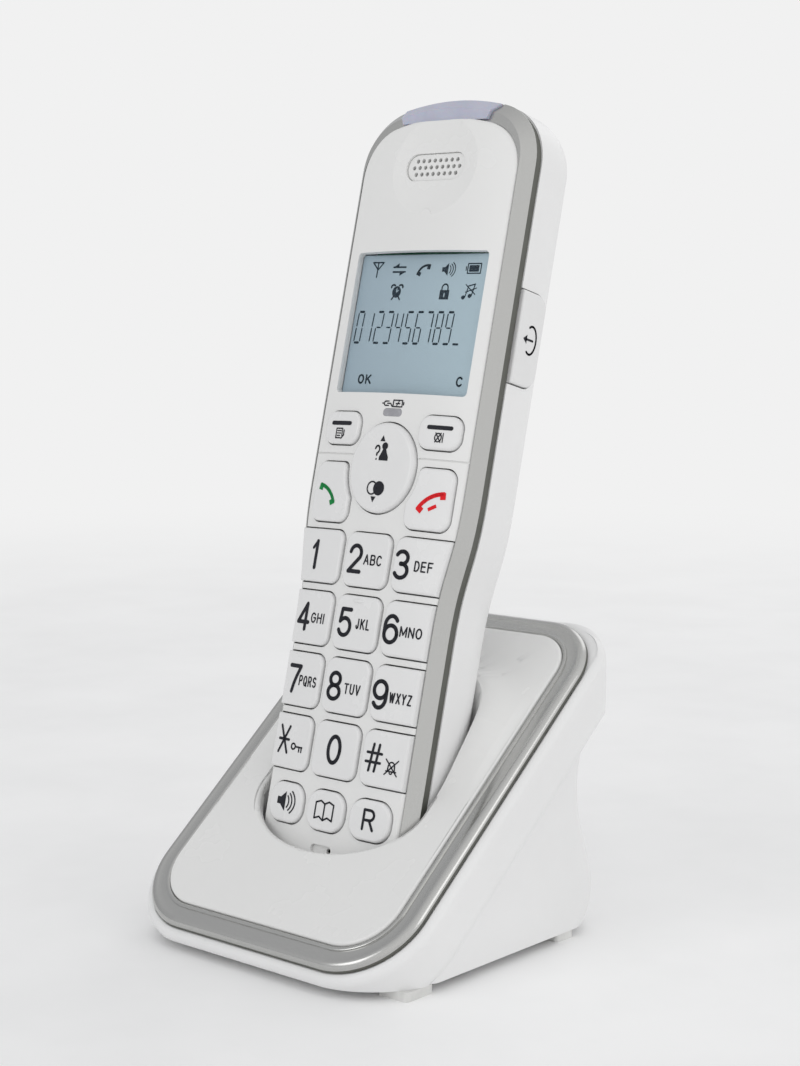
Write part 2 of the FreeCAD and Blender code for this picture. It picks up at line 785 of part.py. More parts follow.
def well_form(gap):
    """Space round the seated handset, in the handset frame: its sloping frame and rounded back."""
    front = -face_crown - gap
    column = handset_prism(trim_width + gap, front, handset_depth + gap)
    rear = [edge for edge in column.Edges if edge.BoundBox.YMin > handset_depth]
    column = column.makeFillet(shell_round + gap, rear)
    side = face_half_lower + trim_width + gap
    near = side - trim_depth + front
    corners = [(near, front), (side, trim_depth), (far, trim_depth), (far, far)]
    points = [vec(x, y, -far) for x, y in corners]
    points += [vec(-x, y, -far) for x, y in reversed(corners)]
    section = Part.Face(Part.makePolygon(points + points[:1]))
    return column.common(section.extrude(vec(0, 0, 2 * far)))


def mouth_form(grow, low, high):
    """Rounded front half of the opening, square to the slope."""
    depth = mouth_side - mouth_front
    curve = Part.Ellipse(vec(0, 0, 0), mouth_half + grow, depth + grow)
    disc = Part.Face(Part.Wire(curve.toShape()))
    disc.translate(vec(0, mouth_side, low))
    return disc.extrude(vec(0, 0, high - low))


def opening_form(gap):
    """Everything the cover is open for."""
    return in_handset(well_form(gap)).fuse(in_cover(mouth_form(gap - well_gap, -mouth_depth, 20)))


def base_cover():
    slab = rim_plan(rim_width + fit_gap, rim_height + cover_proud - cover_thickness, rim_height + cover_proud)
    slab = slab.makeFillet(cover_edge_round, flat_loop(slab, rim_height + cover_proud))
    return in_cover(slab).cut(opening_form(well_gap))


def base_well():
    """Moulded cup that the handset stands in."""
    outer = in_handset(well_form(well_gap + well_wall))
    outer = outer.fuse(in_cover(mouth_form(well_wall, -mouth_depth - well_wall, 20)))
    below = in_cover(Part.makeBox(2 * far, 2 * far, far, vec(-far, -far, rim_height + cover_proud
                                                             - cover_thickness - seat_gap - far)))
    cup = outer.common(below).cut(opening_form(well_gap))
    for side in (-1, 1):
        slot = box(side * charge_plate_x - contact_width / 2 - 0.4,
                   side * charge_plate_x + contact_width / 2 + 0.4,
                   charge_plate_y - 6.0, charge_plate_y + 3.5, -10, 1)
        cup = cup.cut(in_handset(slot))
    return cup


def base_rim():
    ring = rim_plan(0, seat_gap, rim_height)
    ring = ring.makeFillet(rim_round, flat_loop(ring, rim_height))
    return in_cover(ring.cut(rim_plan(rim_width, -1, rim_height + 1)))


def inlet_frame():
    """Mouth of the inlet: its y, and the heights of its lower and upper faces."""
    low = board_low + board_thickness + 0.4 + seat_gap
    return pedestal_back[1][0] - inlet_recess - 1.0, low, low + inlet_height


def boss_places():
    return [(side * boss_x, y) for side in (-1, 1) for y in boss_y]


def base_body():
    shell = base_volume(0).cut(base_volume(body_wall))
    bosses = [rod(boss_radius, vec(x, y, floor_gap + plate_thickness + seat_gap), vec(x, y, boss_top))
              for x, y in boss_places()]
    shell = shell.multiFuse([boss.common(base_volume(0)) for boss in bosses])
    shell = shell.cut(in_cover(rim_plan(rim_width + 1.5, -body_wall - 1, 5)))
    keep = well_gap + well_wall + 0.3
    shell = shell.cut(in_handset(well_form(keep)))
    shell = shell.cut(in_cover(mouth_form(well_wall + 0.3, -mouth_depth - well_wall - 0.3, 20)))
    for x, y in boss_places():
        shell = shell.cut(rod(screw_shank + seat_gap, vec(x, y, 0), vec(x, y, boss_top - 1.5)))
    mouth, low, high = inlet_frame()
    half = inlet_width / 2 + seat_gap
    return shell.cut(box(-half, half, mouth - inlet_depth - 1, far, low - seat_gap, high + seat_gap))


def base_bottom_plate():
    """Panel that closes the underside, with posts for the board."""
    slab = box(-far, far, -far, far, floor_gap, floor_gap + plate_thickness)
    plate = base_volume(body_wall + fit_gap).common(slab)
    inner = base_board_half - 4.0
    posts = [rod(post_radius, vec(x, y, floor_gap + 0.5), vec(x, y, board_low - seat_gap))
             for x in (-inner, inner) for y in (base_board_front + 4, base_board_rear - 4)]
    plate = plate.multiFuse(posts)
    for x, y in boss_places():
        plate = plate.cut(rod(screw_shank + loose_fit, vec(x, y, 0), vec(x, y, 10)))
        plate = plate.cut(rod(screw_head + 0.3, vec(x, y, 0), vec(x, y, floor_gap + 1.2)))
    return plate


def base_screws():
    screws = []
    for x, y in boss_places():
        head = rod(screw_head, vec(x, y, floor_gap + 0.1), vec(x, y, floor_gap + 1.15))
        shank = rod(screw_shank, vec(x, y, floor_gap + 1.0), vec(x, y, boss_top - 2.0))
        slot = box(x - screw_head, x + screw_head, y - 0.3, y + 0.3, 0, floor_gap + 0.5)
        screws.append(head.fuse(shank).removeSplitter().cut(slot))
    return Part.makeCompound(screws)


def base_feet():
    feet = []
    reach = pedestal_half - 0.6 - foot_width / 2
    for x in (-reach, reach):
        for y0, y1 in (foot_front, foot_rear):
            foot = box(x - foot_width / 2, x + foot_width / 2, y0, y1, 0, floor_gap)
            upright = [edge for edge in foot.Edges if abs(edge.tangentAt(edge.FirstParameter).z) > 0.9]
            feet.append(foot.makeFillet(1.0, upright))
    return Part.makeCompound(feet)


def base_board():
    board = box(-base_board_half, base_board_half, base_board_front, base_board_rear,
                board_low, board_low + board_thickness + 0.4)
    return board.cut(in_handset(well_form(well_gap + well_wall + 0.6)))


def power_inlet():
    """Socket for the power lead, opening to the rear."""
    mouth, low, high = inlet_frame()
    housing = box(-inlet_width / 2, inlet_width / 2, mouth - inlet_depth, mouth, low, high)
    middle = (low + high) / 2
    return housing.cut(box(-socket_width / 2, socket_width / 2, mouth - socket_depth, mouth + 1,
                           middle - socket_height / 2, middle + socket_height / 2))


def contact_block():
    """Block under the cup that grips the fixed ends of the charging contacts."""
    root_y, root_z = contact_root
    block = box(-block_half, block_half, block_front, root_y - 0.3, root_z - block_height / 2,
                root_z + block_height / 2)
    return in_handset(block)


def charge_contact(side):
    """Bent leaf spring that rises through the cup's floor."""
    x = side * charge_plate_x
    half = contact_width / 2
    route = [contact_root, contact_bend, contact_tip, contact_end]
    pieces = []
    for (y0, z0), (y1, z1) in zip(route, route[1:]):
        length = math.hypot(y1 - y0, z1 - z0)
        strip = box(x - half, x + half, 0, length, -contact_thickness / 2, contact_thickness / 2)
        strip.rotate(vec(0, 0, 0), vec(1, 0, 0), math.degrees(math.atan2(z1 - z0, y1 - y0)))
        strip.translate(vec(0, y0, z0))
        pieces.append(strip)
        pieces.append(rod(contact_thickness / 2, vec(x - half, y1, z1), vec(x + half, y1, z1)))
    return in_handset(fuse_all(pieces))


def build():
    shapes = {
        "handset_front_shell": in_handset(handset_front_shell()),
        "handset_trim_frame": in_handset(handset_trim_frame()),
        "handset_seam_band": in_handset(handset_seam_band()),
        "ring_light_window": in_handset(ring_light_window()),
        "handset_back_shell": in_handset(handset_back_shell()),
        "battery_door": in_handset(handset_battery_door()),
        "side_key": in_handset(side_key()),
        "display_lens": in_handset(display_lens()),
        "lcd_module": in_handset(lcd_module()),
        "charge_led_lens": in_handset(charge_led_lens()),
        "nav_rocker": in_handset(nav_rocker()),
        "earpiece_grille": in_handset(earpiece_grille()),
        "earpiece_receiver": in_handset(earpiece_receiver()),
        "keypad_mat": in_handset(keypad_mat()),
        "handset_board": in_handset(handset_board()),
        "microphone": in_handset(microphone()),
        "battery_cell_left": in_handset(battery_cell(-1)),
        "battery_cell_right": in_handset(battery_cell(1)),
        "battery_contacts": in_handset(battery_contacts()),
        "ringer_loudspeaker": in_handset(ringer_loudspeaker()),
        "charge_plates": in_handset(charge_plates()),
        "handset_screws": in_handset(handset_screws()),
        "base_cover": base_cover(),
        "base_well": base_well(),
        "base_rim": base_rim(),
        "base_body": base_body(),
        "base_bottom_plate": base_bottom_plate(),
        "base_feet": base_feet(),
        "base_screws": base_screws(),
        "base_board": base_board(),
        "power_inlet": power_inlet(),
        "contact_block": contact_block(),
        "charge_contact_left": charge_contact(-1),
        "charge_contact_right": charge_contact(1),
    }
    for name, (plan, place) in every_key().items():
        shapes[name] = in_handset(key_cap(plan(*place, 0, blank_front, key_seat), key_proud))
    return shapes


def centred(shapes):
    """Moves every node so that the origin is under the middle of the whole phone."""
    limits = Part.makeCompound(list(shapes.values())).optimalBoundingBox(False, False)
    shift = vec(-(limits.XMin + limits.XMax) / 2, -(limits.YMin + limits.YMax) / 2, -limits.ZMin)
    for shape in shapes.values():
        shape.translate(shift)
    return shapes, shift


os.makedirs("parts", exist_ok=True)
placed, shift = centred(build())
for name, shape in placed.items():
    shape.exportStep("parts/" + name + ".step")
print(len(placed), "nodes, moved by", shift)
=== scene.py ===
import bpy
import bmesh
import json
import math
import numpy as np
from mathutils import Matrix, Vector


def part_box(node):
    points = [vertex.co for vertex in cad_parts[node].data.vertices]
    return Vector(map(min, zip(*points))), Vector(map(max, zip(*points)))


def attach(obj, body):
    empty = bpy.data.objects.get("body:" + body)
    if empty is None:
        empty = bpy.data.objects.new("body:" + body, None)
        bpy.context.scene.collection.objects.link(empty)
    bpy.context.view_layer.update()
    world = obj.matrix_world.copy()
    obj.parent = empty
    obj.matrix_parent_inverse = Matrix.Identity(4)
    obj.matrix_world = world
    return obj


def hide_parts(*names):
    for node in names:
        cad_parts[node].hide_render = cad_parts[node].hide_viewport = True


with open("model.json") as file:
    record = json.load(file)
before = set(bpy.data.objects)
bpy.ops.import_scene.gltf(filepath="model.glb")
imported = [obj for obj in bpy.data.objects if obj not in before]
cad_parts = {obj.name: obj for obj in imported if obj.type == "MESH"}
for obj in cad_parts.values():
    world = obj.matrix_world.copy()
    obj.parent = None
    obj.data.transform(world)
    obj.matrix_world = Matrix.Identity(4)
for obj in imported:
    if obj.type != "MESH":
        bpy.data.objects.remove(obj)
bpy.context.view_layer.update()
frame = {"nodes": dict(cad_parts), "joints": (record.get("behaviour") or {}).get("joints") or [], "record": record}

cadNodes = frame["nodes"]
mm = 0.001

# The handset's own frame: x across, y back from its face, z along its length. All in mm.
handsetPlace = {
    "lensLow": 109.6,     # the display's lower edge, above the handset's bottom end
    "lensThick": 1.1,
}
lift = next(joint for joint in frame["joints"] if joint["name"] == "handset_lift")
along = np.array(lift["axis"], float)
along /= np.linalg.norm(along)
across = np.array([1.0, 0.0, 0.0])
inward = np.cross(along, across)
inward = inward if inward[1] > 0 else -inward
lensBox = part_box("display_lens")
lensFoot = np.array([0.0, lensBox[0].y, lensBox[0].z]) - [0, 0, inward[2] * handsetPlace["lensThick"] * mm]
handsetOrigin = lensFoot - along * handsetPlace["lensLow"] * mm

# The cover's frame: x across, y up the slope, z out of it. All in mm.
coverPlace = {
    "slope": 38.9,        # degrees
    "front": 9.92,        # the cover's front and rear edges, up the slope
    "back": 98.18,
    "under": 0.5,         # the cover's underside, above the slope's plane
}
slope = math.radians(coverPlace["slope"])
upSlope = np.array([0.0, math.cos(slope), math.sin(slope)])
offSlope = np.array([0.0, -math.sin(slope), math.cos(slope)])
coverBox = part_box("base_cover")
coverOrigin = np.array([
    0.0,
    coverBox[1].y - (coverPlace["back"] * upSlope[1] + coverPlace["under"] * offSlope[1]) * mm,
    coverBox[0].z - (coverPlace["front"] * upSlope[2] + coverPlace["under"] * offSlope[2]) * mm,
])


def toRow(points, origin, axes):
    # origin + x * first axis + y * second + z * third, from millimetres to metres
    return origin + np.asarray(points, float) @ np.array(axes) * mm


handsetAxes = (across, inward, along)
coverAxes = (across, upSlope, offSlope)
print("frames read")

# Camera and light

cameraSet = {
    "place": (0.29226, -0.32756, 0.14081),
    "turn": 41.09,        # degrees round the vertical
    "dip": 6.64,          # degrees below the horizon
    "lens": 67.3,
}
cameraData = bpy.data.cameras.new("camera")
cameraData.lens = cameraSet["lens"]
cameraData.clip_start = 0.01
camera = bpy.data.objects.new("camera", cameraData)
camera.location = cameraSet["place"]
camera.rotation_euler = (math.radians(90 - cameraSet["dip"]), 0, math.radians(cameraSet["turn"]))
bpy.context.scene.collection.objects.link(camera)
bpy.context.scene.camera = camera
bpy.context.scene.view_settings.view_transform = "Standard"


def linearColour(code):
    # sRGB hex code to linear red, green, blue and full alpha
    values = [int(code[i:i + 2], 16) / 255 for i in (1, 3, 5)]
    linear = [v / 12.92 if v <= 0.04045 else ((v + 0.055) / 1.055) ** 2.4 for v in values]
    return (*linear, 1.0)


def addNode(tree, kind, inputs=None, **settings):
    # one node with its settings; an input is a plain value, or the socket that feeds it
    node = tree.nodes.new(kind)
    for key, value in settings.items():
        setattr(node, key, value)
    for name, value in (inputs or {}).items():
        if isinstance(value, bpy.types.NodeSocket):
            tree.links.new(value, node.inputs[name])
        else:
            node.inputs[name].default_value = value
    return node


lightSet = {
    # the sky runs from dark at one side to light at the other; the backdrop is what the camera sees of it
    "sky": {"dark": "#b9babc", "light": "#f4f4f4", "from": -1.0, "to": 0.55, "strength": 1.02,
            "backdrop": "#f1f1f1"},
    "aim": (0, 0, 0.09),
    "lamps": {
        "rightSoftbox": {"place": (0.80, 0.05, 0.45), "size": 0.3, "power": 0.35},
        "frontSoftbox": {"place": (-0.25, -0.95, 0.55), "size": 0.5, "power": 1.3},
        "rearSoftbox": {"place": (-0.10, 0.85, 0.70), "size": 0.6, "power": 0.8},
    },
}
world = bpy.data.worlds.new("studio")
world.use_nodes = True
sky = world.node_tree
sky.nodes.clear()
skyPlace = addNode(sky, "ShaderNodeTexCoord")
skySides = addNode(sky, "ShaderNodeSeparateXYZ", {"Vector": skyPlace.outputs["Generated"]})
skyFade = addNode(sky, "ShaderNodeMapRange", {
    "Value": skySides.outputs["X"], "From Min": lightSet["sky"]["from"], "From Max": lightSet["sky"]["to"]})
skyRamp = addNode(sky, "ShaderNodeValToRGB", {"Fac": skyFade.outputs["Result"]})
skyRamp.color_ramp.elements[0].color = linearColour(lightSet["sky"]["dark"])
skyRamp.color_ramp.elements[1].color = linearColour(lightSet["sky"]["light"])
skyGlow = addNode(sky, "ShaderNodeBackground", {
    "Color": skyRamp.outputs["Color"],
    "Strength": lightSet["sky"]["strength"],
})
skyBackdrop = addNode(sky, "ShaderNodeBackground", {
    "Color": linearColour(lightSet["sky"]["backdrop"]), "Strength": 1.0})
skySeen = addNode(sky, "ShaderNodeLightPath")
skyMix = addNode(sky, "ShaderNodeMixShader", {
    0: skySeen.outputs["Is Camera Ray"], 1: skyGlow.outputs[0], 2: skyBackdrop.outputs[0]})
addNode(sky, "ShaderNodeOutputWorld", {"Surface": skyMix.outputs[0]})
bpy.context.scene.world = world
for name, one in lightSet["lamps"].items():
    data = bpy.data.lights.new(name, "AREA")
    data.size = one["size"]
    data.energy = one["power"]
    lamp = bpy.data.objects.new(name, data)
    lamp.location = one["place"]
    lamp.rotation_euler = (Vector(lightSet["aim"]) - lamp.location).to_track_quat("-Z", "Y").to_euler()
    bpy.context.scene.collection.objects.link(lamp)
print("camera and lights ready")

# Finishes. Patterns read Object coordinates, in metres, so a scale is one over a size in metres.


def startFinish(name, metallic=0.0, ior=1.5):
    # a principled shader joined to the output, and the object's own coordinates
    material = bpy.data.materials.new(name)
    material.use_nodes = True
    tree = material.node_tree
    tree.nodes.clear()
    shader = addNode(tree, "ShaderNodeBsdfPrincipled", {"Metallic": metallic, "IOR": ior})
    addNode(tree, "ShaderNodeOutputMaterial", {"Surface": shader.outputs[0]})
    place = addNode(tree, "ShaderNodeTexCoord").outputs["Object"]
    return material, tree, shader, place


def feed(tree, shader, tone, bump, rough=None):
    # colour, relief and, when given, roughness into the shader
    tree.links.new(tone.outputs["Color"], shader.inputs["Base Color"])
    if rough:
        tree.links.new(rough.outputs["Result"], shader.inputs["Roughness"])
    tree.links.new(bump.outputs["Normal"], shader.inputs["Normal"])


mouldSet = {
    "toneLow": 0.35, "toneHigh": 0.65,    # the part of the mottling over which the tones mix
    "wearLow": 0.3, "wearHigh": 0.7,      # and over which the roughness changes
    "reliefDepth": 0.05,
}


def moulded(name, settings):
    # colour = mix of two tones by broad mottling; roughness and bump from mottling and grain
    material, tree, shader, place = startFinish(name, settings.get("metallic", 0.0), settings.get("ior", 1.5))
    broad = addNode(tree, "ShaderNodeTexNoise", {
        "Vector": place, "Scale": 1 / (settings["mottle"] * mm), "Detail": 4.0, "Roughness": 0.6})
    grain = addNode(tree, "ShaderNodeTexNoise", {
        "Vector": place, "Scale": 1 / (settings["grain"] * mm), "Detail": 2.0})
    tone = addNode(tree, "ShaderNodeValToRGB", {"Fac": broad.outputs["Fac"]})
    tone.color_ramp.elements[0].position = mouldSet["toneLow"]
    tone.color_ramp.elements[1].position = mouldSet["toneHigh"]
    for stop, code in zip(tone.color_ramp.elements, settings["tones"]):
        stop.color = linearColour(code)
    low, high = settings["roughness"]
    rough = addNode(tree, "ShaderNodeMapRange", {
        "Value": broad.outputs["Fac"], "From Min": mouldSet["wearLow"], "From Max": mouldSet["wearHigh"],
        "To Min": low, "To Max": high})
    bump = addNode(tree, "ShaderNodeBump", {
        "Height": grain.outputs["Fac"], "Strength": settings["relief"],
        "Distance": mouldSet["reliefDepth"] * mm})
    feed(tree, shader, tone, bump, rough)
    for socket, value in settings.get("extra", {}).items():
        shader.inputs[socket].default_value = value
    return material


# ABS moulded in a polished tool: soft highlights, almost without marks
glossWhite = moulded("polishedWhiteAbs", {
    "tones": ("#e5e5e4", "#e6e6e5"), "roughness": (0.26, 0.28), "mottle": 30.0, "grain": 0.6, "relief": 0.04})
# ABS from a finely spark-eroded tool: broader highlights; the 0.1 mm texture is drawn at 0.5 mm to show
satinWhite = moulded("texturedWhiteAbs", {
    "tones": ("#e8e8e8", "#ebebeb"), "roughness": (0.38, 0.44), "mottle": 26.0, "grain": 0.5, "relief": 0.1})
keyWhite = moulded("polishedKeyAbs", {
    "tones": ("#e2e2e2", "#e5e5e5"), "roughness": (0.24, 0.29), "mottle": 16.0, "grain": 0.6, "relief": 0.04})
# Metallic lacquer on ABS: satin sheen with fine flakes, drawn at 0.35 mm to show
satinSilver = moulded("metallicSilverLacquer", {
    "tones": ("#bcbcba", "#c0c0be"), "roughness": (0.22, 0.26), "mottle": 0.35, "grain": 0.35, "relief": 0.02,
    "metallic": 1.0})
# ABS in dark grey from a textured tool: matt line between silver and white; the rim's foot also wears it, as
# painted shade of the gap under the rim
greyStripeAndRimShade = moulded("texturedGreyAbs", {
    "tones": ("#54554f", "#5e5f59"), "roughness": (0.45, 0.6), "mottle": 5.0, "grain": 0.5, "relief": 0.15})
# Tinted polycarbonate with a frosted skin: soft glow inside, no sharp reflections
frostedLilac = moulded("frostedLilacPolycarbonate", {
    "tones": ("#b3b5c7", "#bbbdcd"), "roughness": (0.35, 0.45), "mottle": 6.0, "grain": 0.4, "relief": 0.08,
    "ior": 1.58, "extra": {"Subsurface Weight": 0.25, "Subsurface Scale": 0.6 * mm}})
ledGrey = moulded("smokedLampPolycarbonate", {
    "tones": ("#97979c", "#a3a3a8"), "roughness": (0.2, 0.3), "mottle": 2.0, "grain": 0.4, "relief": 0.05,
    "ior": 1.58})
# Silicone moulded in a matt tool
siliconeGrey = moulded("milkySilicone", {
    "tones": ("#c2c2c3", "#cccccd"), "roughness": (0.55, 0.7), "mottle": 8.0, "grain": 0.5, "relief": 0.15,
    "ior": 1.41})
# Thermoplastic rubber feet: matt, slightly soiled where they meet the table
rubberWhite = moulded("paleRubber", {
    "tones": ("#d4d4d2", "#e0e0de"), "roughness": (0.6, 0.8), "mottle": 4.0, "grain": 0.5, "relief": 0.2})
# Nickel plate on pressed steel: bright with fine rolling marks
nickelPlate = moulded("brightNickelPlate", {
    "tones": ("#c0bbb2", "#cbc7bf"), "roughness": (0.16, 0.3), "mottle": 3.0, "grain": 0.3, "relief": 0.1,
    "metallic": 1.0})
# Glass-filled nylon: dull black with a grainy skin
blackNylon = moulded("grainyBlackNylon", {
    "tones": ("#161617", "#202022"), "roughness": (0.5, 0.7), "mottle": 3.0, "grain": 0.4, "relief": 0.25,
    "ior": 1.53})

circuitSet = {
    "resist": "#1d6b3c", "copper": "#2b8550", "track": 1.6, "edge": (0.42, 0.5), "relief": 0.4, "depth": 0.04,
    "roughness": 0.35,
}
# Epoxy glass board under green solder resist: tracks show as paler, raised lines
circuitGreen, tree, shader, place = startFinish("greenSolderResist", ior=1.55)
tracks = addNode(tree, "ShaderNodeTexVoronoi", {"Vector": place, "Scale": 1 / (circuitSet["track"] * mm)},
                 distance="MANHATTAN", feature="F1")
trackEdge = addNode(tree, "ShaderNodeMapRange", {
    "Value": tracks.outputs["Distance"],
    "From Min": circuitSet["edge"][0], "From Max": circuitSet["edge"][1]})
trackTone = addNode(tree, "ShaderNodeValToRGB", {"Fac": trackEdge.outputs["Result"]})
trackTone.color_ramp.elements[0].color = linearColour(circuitSet["resist"])
trackTone.color_ramp.elements[1].color = linearColour(circuitSet["copper"])
trackBump = addNode(tree, "ShaderNodeBump", {
    "Height": trackEdge.outputs["Result"], "Strength": circuitSet["relief"],
    "Distance": circuitSet["depth"] * mm})
feed(tree, shader, trackTone, trackBump)
shader.inputs["Roughness"].default_value = circuitSet["roughness"]

sleeveSet = {
    "dark": "#22528c", "light": "#d7dadd", "stripe": 22.0, "split": 0.8, "wrinkle": 1.5, "relief": 0.2,
    "depth": 0.05, "roughness": 0.2,
}
# Shrink sleeve on a rechargeable cell: plain bands of print under a glossy film
cellSleeve, tree, shader, place = startFinish("printedShrinkSleeve", ior=1.5)
bands = addNode(tree, "ShaderNodeTexWave", {
    "Vector": place, "Scale": 1 / (sleeveSet["stripe"] * mm) / math.pi, "Distortion": 0.0},
    bands_direction="Z")
bandTone = addNode(tree, "ShaderNodeValToRGB", {"Fac": bands.outputs["Fac"]})
bandTone.color_ramp.interpolation = "CONSTANT"
bandTone.color_ramp.elements[0].color = linearColour(sleeveSet["dark"])
bandTone.color_ramp.elements[1].color = linearColour(sleeveSet["light"])
bandTone.color_ramp.elements[1].position = sleeveSet["split"]
wrinkle = addNode(tree, "ShaderNodeTexNoise", {
    "Vector": place, "Scale": 1 / (sleeveSet["wrinkle"] * mm), "Detail": 3.0})
wrinkleBump = addNode(tree, "ShaderNodeBump", {
    "Height": wrinkle.outputs["Fac"], "Strength": sleeveSet["relief"], "Distance": sleeveSet["depth"] * mm})
feed(tree, shader, bandTone, wrinkleBump)
shader.inputs["Roughness"].default_value = sleeveSet["roughness"]

lensSet = {
    "tint": "#8c9da6", "alpha": 0.04, "smear": 7.0, "smearRange": (0.35, 0.75), "roughness": (0.03, 0.12),
}
# Clear acrylic with a hard coat: nearly invisible but for its reflections
clearLens, tree, shader, place = startFinish("clearHardCoatedAcrylic", ior=1.49)
smear = addNode(tree, "ShaderNodeTexNoise", {
    "Vector": place, "Scale": 1 / (lensSet["smear"] * mm), "Detail": 4.0})
smearRough = addNode(tree, "ShaderNodeMapRange", {
    "Value": smear.outputs["Fac"],
    "From Min": lensSet["smearRange"][0], "From Max": lensSet["smearRange"][1],
    "To Min": lensSet["roughness"][0], "To Max": lensSet["roughness"][1]})
tree.links.new(smearRough.outputs["Result"], shader.inputs["Roughness"])
shader.inputs["Base Color"].default_value = linearColour(lensSet["tint"])
shader.inputs["Alpha"].default_value = lensSet["alpha"]

glassSet = {
    # left and right are the panel's colours at its two sides; the lighter right is painted light
    "left": "#a0b3bf", "right": "#b4c9d3", "half": 19, "dot": 0.42, "relief": 0.06, "depth": 0.02,
    "roughness": 0.3,
}
# Reflective liquid crystal panel: pale blue-grey, with painted light that makes it brighter towards its right
# side, and a faint grid of cells
panelGlass, tree, shader, place = startFinish("paleBlueCrystalPanel", ior=1.5)
panelX = addNode(tree, "ShaderNodeSeparateXYZ", {"Vector": place})
# painted light: the colour runs from the darker left to the lighter right across the panel
paintedLightFade = addNode(tree, "ShaderNodeMapRange", {
    "Value": panelX.outputs["X"], "From Min": -glassSet["half"] * mm, "From Max": glassSet["half"] * mm})
paintedLightTone = addNode(tree, "ShaderNodeValToRGB", {"Fac": paintedLightFade.outputs["Result"]})
paintedLightTone.color_ramp.elements[0].color = linearColour(glassSet["left"])
paintedLightTone.color_ramp.elements[1].color = linearColour(glassSet["right"])
cells = addNode(tree, "ShaderNodeTexVoronoi", {"Vector": place, "Scale": 1 / (glassSet["dot"] * mm),
                                               "Randomness": 0.0}, distance="CHEBYCHEV")
cellBump = addNode(tree, "ShaderNodeBump", {
    "Height": cells.outputs["Distance"], "Strength": glassSet["relief"], "Distance": glassSet["depth"] * mm})
feed(tree, shader, paintedLightTone, cellBump)
shader.inputs["Roughness"].default_value = glassSet["roughness"]


def printed(name, tones, roughness):
    # ink or darkened crystal: two close tones by 0.8 mm mottling, and a slightly uneven skin
    return moulded(name, {
        "tones": tones, "roughness": roughness, "mottle": 0.8, "grain": 0.25, "relief": 0.1,
        "extra": {"Specular IOR Level": 0.2}})


# Pad-printed two-part inks: thin, satin, a little uneven at their edges
darkInk = printed("padPrintedDarkInk", ("#1d1e24", "#24252c"), (0.45, 0.57))
greenInk = printed("padPrintedGreenInk", ("#0f7a3a", "#138644"), (0.4, 0.52))
redInk = printed("padPrintedRedInk", ("#d8101a", "#e6141f"), (0.4, 0.52))
# Darkened liquid crystal: flat blue-black
crystalDark = printed("darkenedCrystal", ("#0a1c29", "#0e2331"), (0.45, 0.57))

floorSet = {
    "reach": 6.0, "tones": ("#f6f6f6", "#fafafa"),
    "fadeStart": 0.3, "fadeEnd": 0.95,    # metres from the object, where the paper turns into the backdrop
}
# Plain matt paper sweep
paperFloor = moulded("paleMattPaper", {
    "tones": floorSet["tones"], "roughness": (0.7, 0.85), "mottle": 60.0, "grain": 2.0, "relief": 0.05})
# further out the paper fades into the backdrop, so that no horizon line shows
fadeTree = paperFloor.node_tree
paperShader = next(node for node in fadeTree.nodes if node.type == "BSDF_PRINCIPLED")
paperOutput = next(node for node in fadeTree.nodes if node.type == "OUTPUT_MATERIAL")
floorPlace = addNode(fadeTree, "ShaderNodeTexCoord")
farness = addNode(fadeTree, "ShaderNodeVectorMath", {0: floorPlace.outputs["Object"]}, operation="LENGTH")
fade = addNode(fadeTree, "ShaderNodeMapRange", {
    "Value": farness.outputs["Value"], "From Min": floorSet["fadeStart"], "From Max": floorSet["fadeEnd"]},
    interpolation_type="SMOOTHSTEP")
farGlow = addNode(fadeTree, "ShaderNodeEmission", {
    "Color": linearColour(lightSet["sky"]["backdrop"]), "Strength": 1.0})
paperMix = addNode(fadeTree, "ShaderNodeMixShader", {
    0: fade.outputs["Result"], 1: paperShader.outputs[0], 2: farGlow.outputs[0]})
fadeTree.links.new(paperMix.outputs[0], paperOutput.inputs["Surface"])
floorMesh = bpy.data.meshes.new("floor")
reach = floorSet["reach"]
floorMesh.from_pydata([(-reach, -reach, 0), (reach, -reach, 0), (reach, reach, 0), (-reach, reach, 0)],
                      [], [(0, 1, 2, 3)])
floorMesh.materials.append(paperFloor)
floor = bpy.data.objects.new("floor", floorMesh)
bpy.context.scene.collection.objects.link(floor)

finishOfSlot = {
    "white_abs": glossWhite, "silver_paint": satinSilver, "grey_band": greyStripeAndRimShade,
    "frosted_lilac": frostedLilac, "clear_lens": clearLens, "lcd": panelGlass, "led_grey": ledGrey,
    "board_green": circuitGreen, "silicone": siliconeGrey, "cell_label": cellSleeve,
    "nickel": nickelPlate, "black_part": blackNylon, "rubber_white": rubberWhite,
}
finishOfNode = {
    "base_body": satinWhite, "base_bottom_plate": satinWhite, "base_well": satinWhite,
    "handset_back_shell": satinWhite, "battery_door": satinWhite, "nav_rocker": keyWhite,
}
slotOfNode = {part["node"]: part["material_slot"] for part in frame["record"]["subparts"]}
for name, node in cadNodes.items():
    keyCap = name.startswith("key_") or name.endswith("_key") or name.startswith("soft_key")
    finish = finishOfNode.get(name) or (keyWhite if keyCap else finishOfSlot[slotOfNode[name]])
    node.data.materials.clear()
    node.data.materials.append(finish)
print("finishes ready:", len(bpy.data.materials))

# Surfaces from grids of points


def addPiece(name, mesh, finish, body):
    # a mesh as a piece of the scene, riding a body, with its material slot
    mesh.materials.append(finish)
    piece = bpy.data.objects.new(name, mesh)
    bpy.context.scene.collection.objects.link(piece)
    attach(piece, body)
    return piece


gridSet = {"sharpAngle": 38, "mergeDistance": 1e-7}


